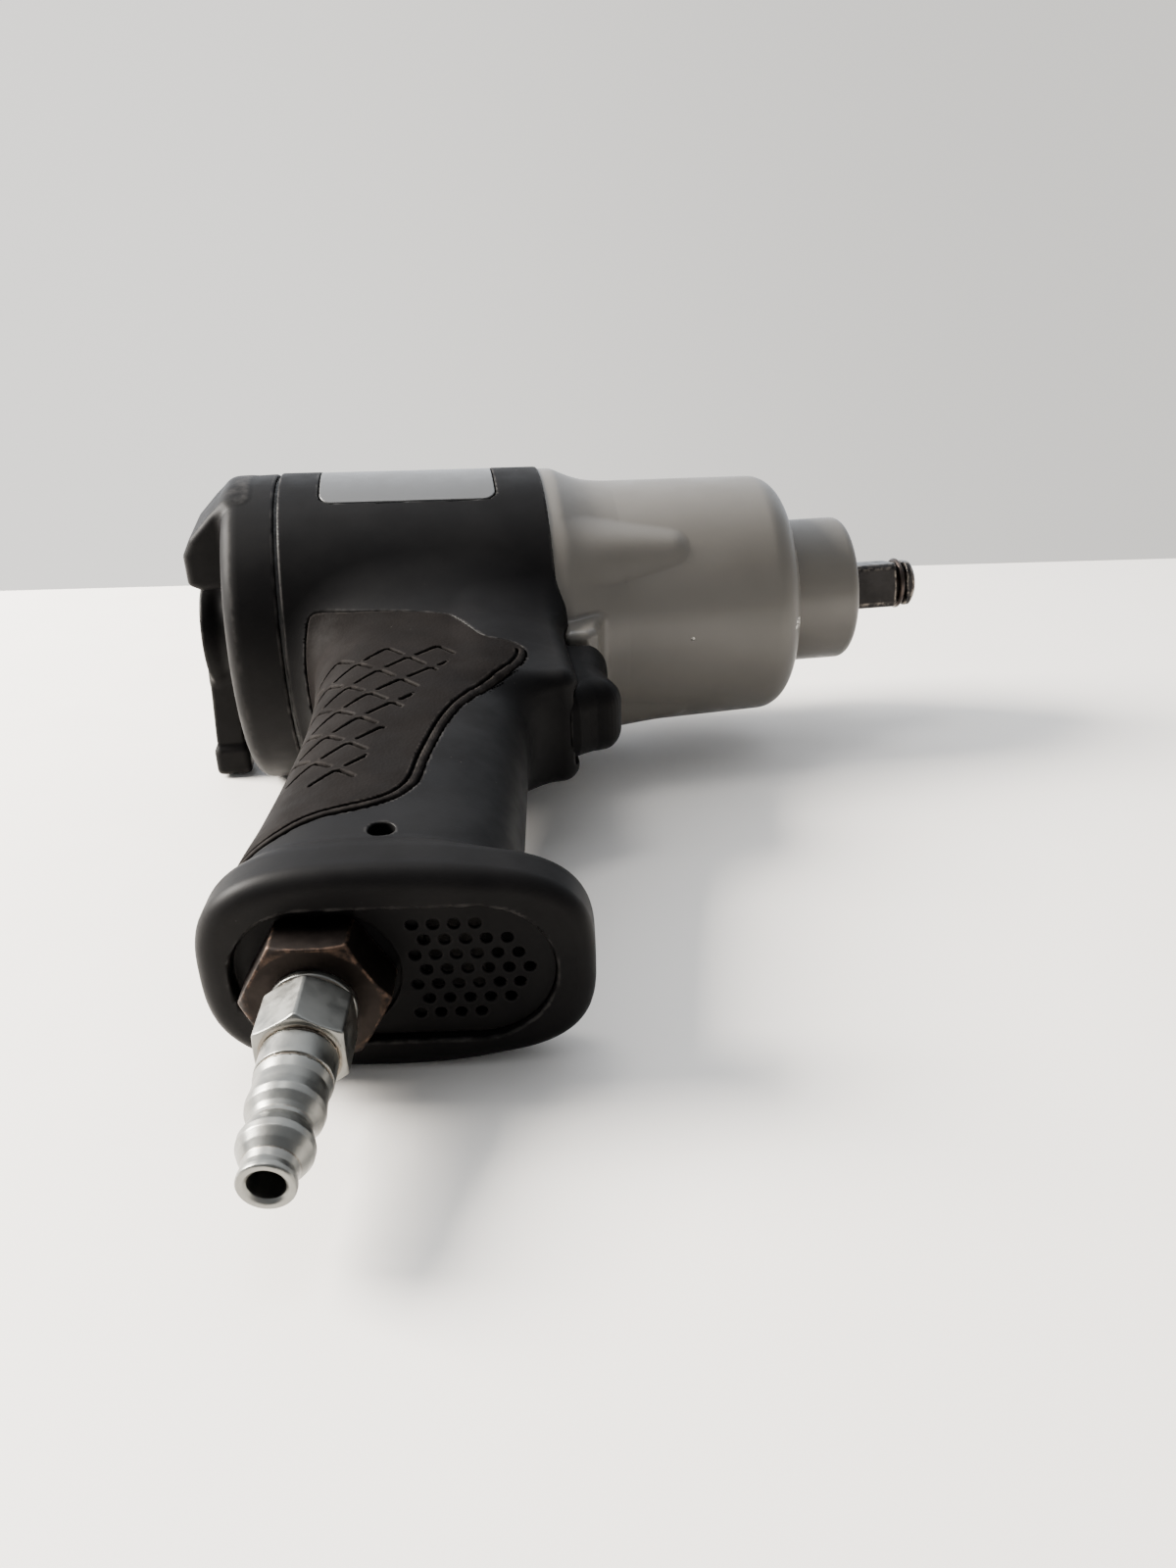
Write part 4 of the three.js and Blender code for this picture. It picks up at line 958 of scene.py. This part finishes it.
# ---------------------------------------------------------------- stage, light and camera
def plane(name, corners, material):
    mesh = bpy.data.meshes.new(name)
    mesh.from_pydata(corners, [], [tuple(range(len(corners)))])
    mesh.materials.append(material)
    made = bpy.data.objects.new(name, mesh)
    bpy.context.scene.collection.objects.link(made)
    return made


def stage_paint(name, colour):
    k = Look(name)
    tint = k.mix(k.noise(6, 2), colour, tuple(0.985 * c for c in colour))
    return k.finish(tint, k.spread(k.noise(40, 2), 0.3, 0.7, 0.5, 0.6))


REACH = 2.5  # half the floor's width, in metres
TABLE_END = (0.323, -0.2)  # where the floor ends behind the tool: y at x = 0, and its slope along x


def table_end(x):
    return TABLE_END[0] + TABLE_END[1] * x


plane("floor", [(-REACH, -REACH, 0), (REACH, -REACH, 0),
                (REACH, table_end(REACH), 0), (-REACH, table_end(-REACH), 0)],
      stage_paint("floor_look", (0.92, 0.88, 0.825)))


def softbox(name, place, target, size, power, colour=(1, 1, 1)):
    light = bpy.data.lights.new(name, "AREA")
    light.shape = "RECTANGLE"
    light.size, light.size_y = size
    light.energy = power
    light.color = colour
    made = bpy.data.objects.new(name, light)
    made.location = place
    made.rotation_mode = "QUATERNION"
    made.rotation_quaternion = (Vector(target) - Vector(place)).to_track_quat("-Z", "Y")
    bpy.context.scene.collection.objects.link(made)


softbox("key", (-1.0, 0.33, 0.7), (0, 0.02, 0.03), (0.55, 0.55), 96, (1, 0.95, 0.885))
softbox("overhead", (-0.15, 0.26, 1.3), (0, 0, 0.03), (0.5, 0.3), 4, (1, 0.985, 0.965))

# The room's light is strongest behind the table. Seen past the table's end, it is a plain pale wall whose
# brightness grows towards one side: painted light on the wall.
ROOM_LIGHT = {"towards": (-0.25, 0.9, 0.35), "dot": (-0.3, 0.9), "strength": (0.34, 2.0)}
WALL_TONE = {"towards": (-0.9, 0.1, -0.25), "dot": (-0.45, 0.45), "strength": (1.05, 1.6)}
world = bpy.data.worlds.new("soft_room")
world.use_nodes = True
room = world.node_tree.nodes


def graded(background, colour, towards, dot, strength):
    """Light from all round that grows towards one side."""
    share = room.new("ShaderNodeVectorMath")
    share.operation = "DOT_PRODUCT"
    share.inputs[1].default_value = Vector(towards).normalized()
    grade = room.new("ShaderNodeMapRange")
    grade.interpolation_type = "SMOOTHSTEP"
    for socket, value in zip(("From Min", "From Max", "To Min", "To Max"), (*dot, *strength)):
        grade.inputs[socket].default_value = value
    world.node_tree.links.new(room.new("ShaderNodeTexCoord").outputs["Generated"], share.inputs[0])
    world.node_tree.links.new(share.outputs["Value"], grade.inputs["Value"])
    world.node_tree.links.new(grade.outputs["Result"], background.inputs["Strength"])
    background.inputs["Color"].default_value = (*colour, 1)
    return background.outputs[0]


light_tint, wall_tint = (0.9, 0.94, 1), (1, 0.975, 0.93)
seen = room.new("ShaderNodeMixShader")
link = world.node_tree.links.new
link(room.new("ShaderNodeLightPath").outputs["Is Camera Ray"], seen.inputs[0])
link(graded(room["Background"], light_tint, **ROOM_LIGHT), seen.inputs[1])
link(graded(room.new("ShaderNodeBackground"), wall_tint, **WALL_TONE), seen.inputs[2])
link(seen.outputs[0], room["World Output"].inputs["Surface"])
bpy.context.scene.world = world

camera = bpy.data.objects.new("camera", bpy.data.cameras.new("camera"))
EYE = Vector((-31.6, -331.9, 128.6))  # in millimetres, in a frame whose Z is the tool's right side
YAW, PITCH, ROLL = (math.radians(a) for a in (-7.34, 29.3, -1.49))
FOCAL_SHARE = 1252.7 / 1600  # focal length over the picture's long side


def from_side_frame(v):
    """From the frame in which the camera was placed: X forward, Y up the tool, Z to its right."""
    return Matrix(TO_WORLD.tolist()) @ Vector((v[0], -v[2], v[1]))


ahead = Vector((-math.sin(YAW) * math.cos(PITCH), math.cos(YAW) * math.cos(PITCH), -math.sin(PITCH)))
level = ahead.cross(Vector((0, 0, 1))).normalized()
upright = level.cross(ahead)
right = math.cos(ROLL) * level + math.sin(ROLL) * upright
up = math.cos(ROLL) * upright - math.sin(ROLL) * level
axes = [from_side_frame(v) * 1000 for v in (right, up, -ahead)]
camera.matrix_world = Matrix.Translation(ORIGIN + from_side_frame(EYE)) @ Matrix(axes).transposed().to_4x4()
camera.data.sensor_width = 36
camera.data.lens = 36 * FOCAL_SHARE
camera.data.clip_start = 0.01
bpy.context.scene.collection.objects.link(camera)
bpy.context.scene.camera = camera
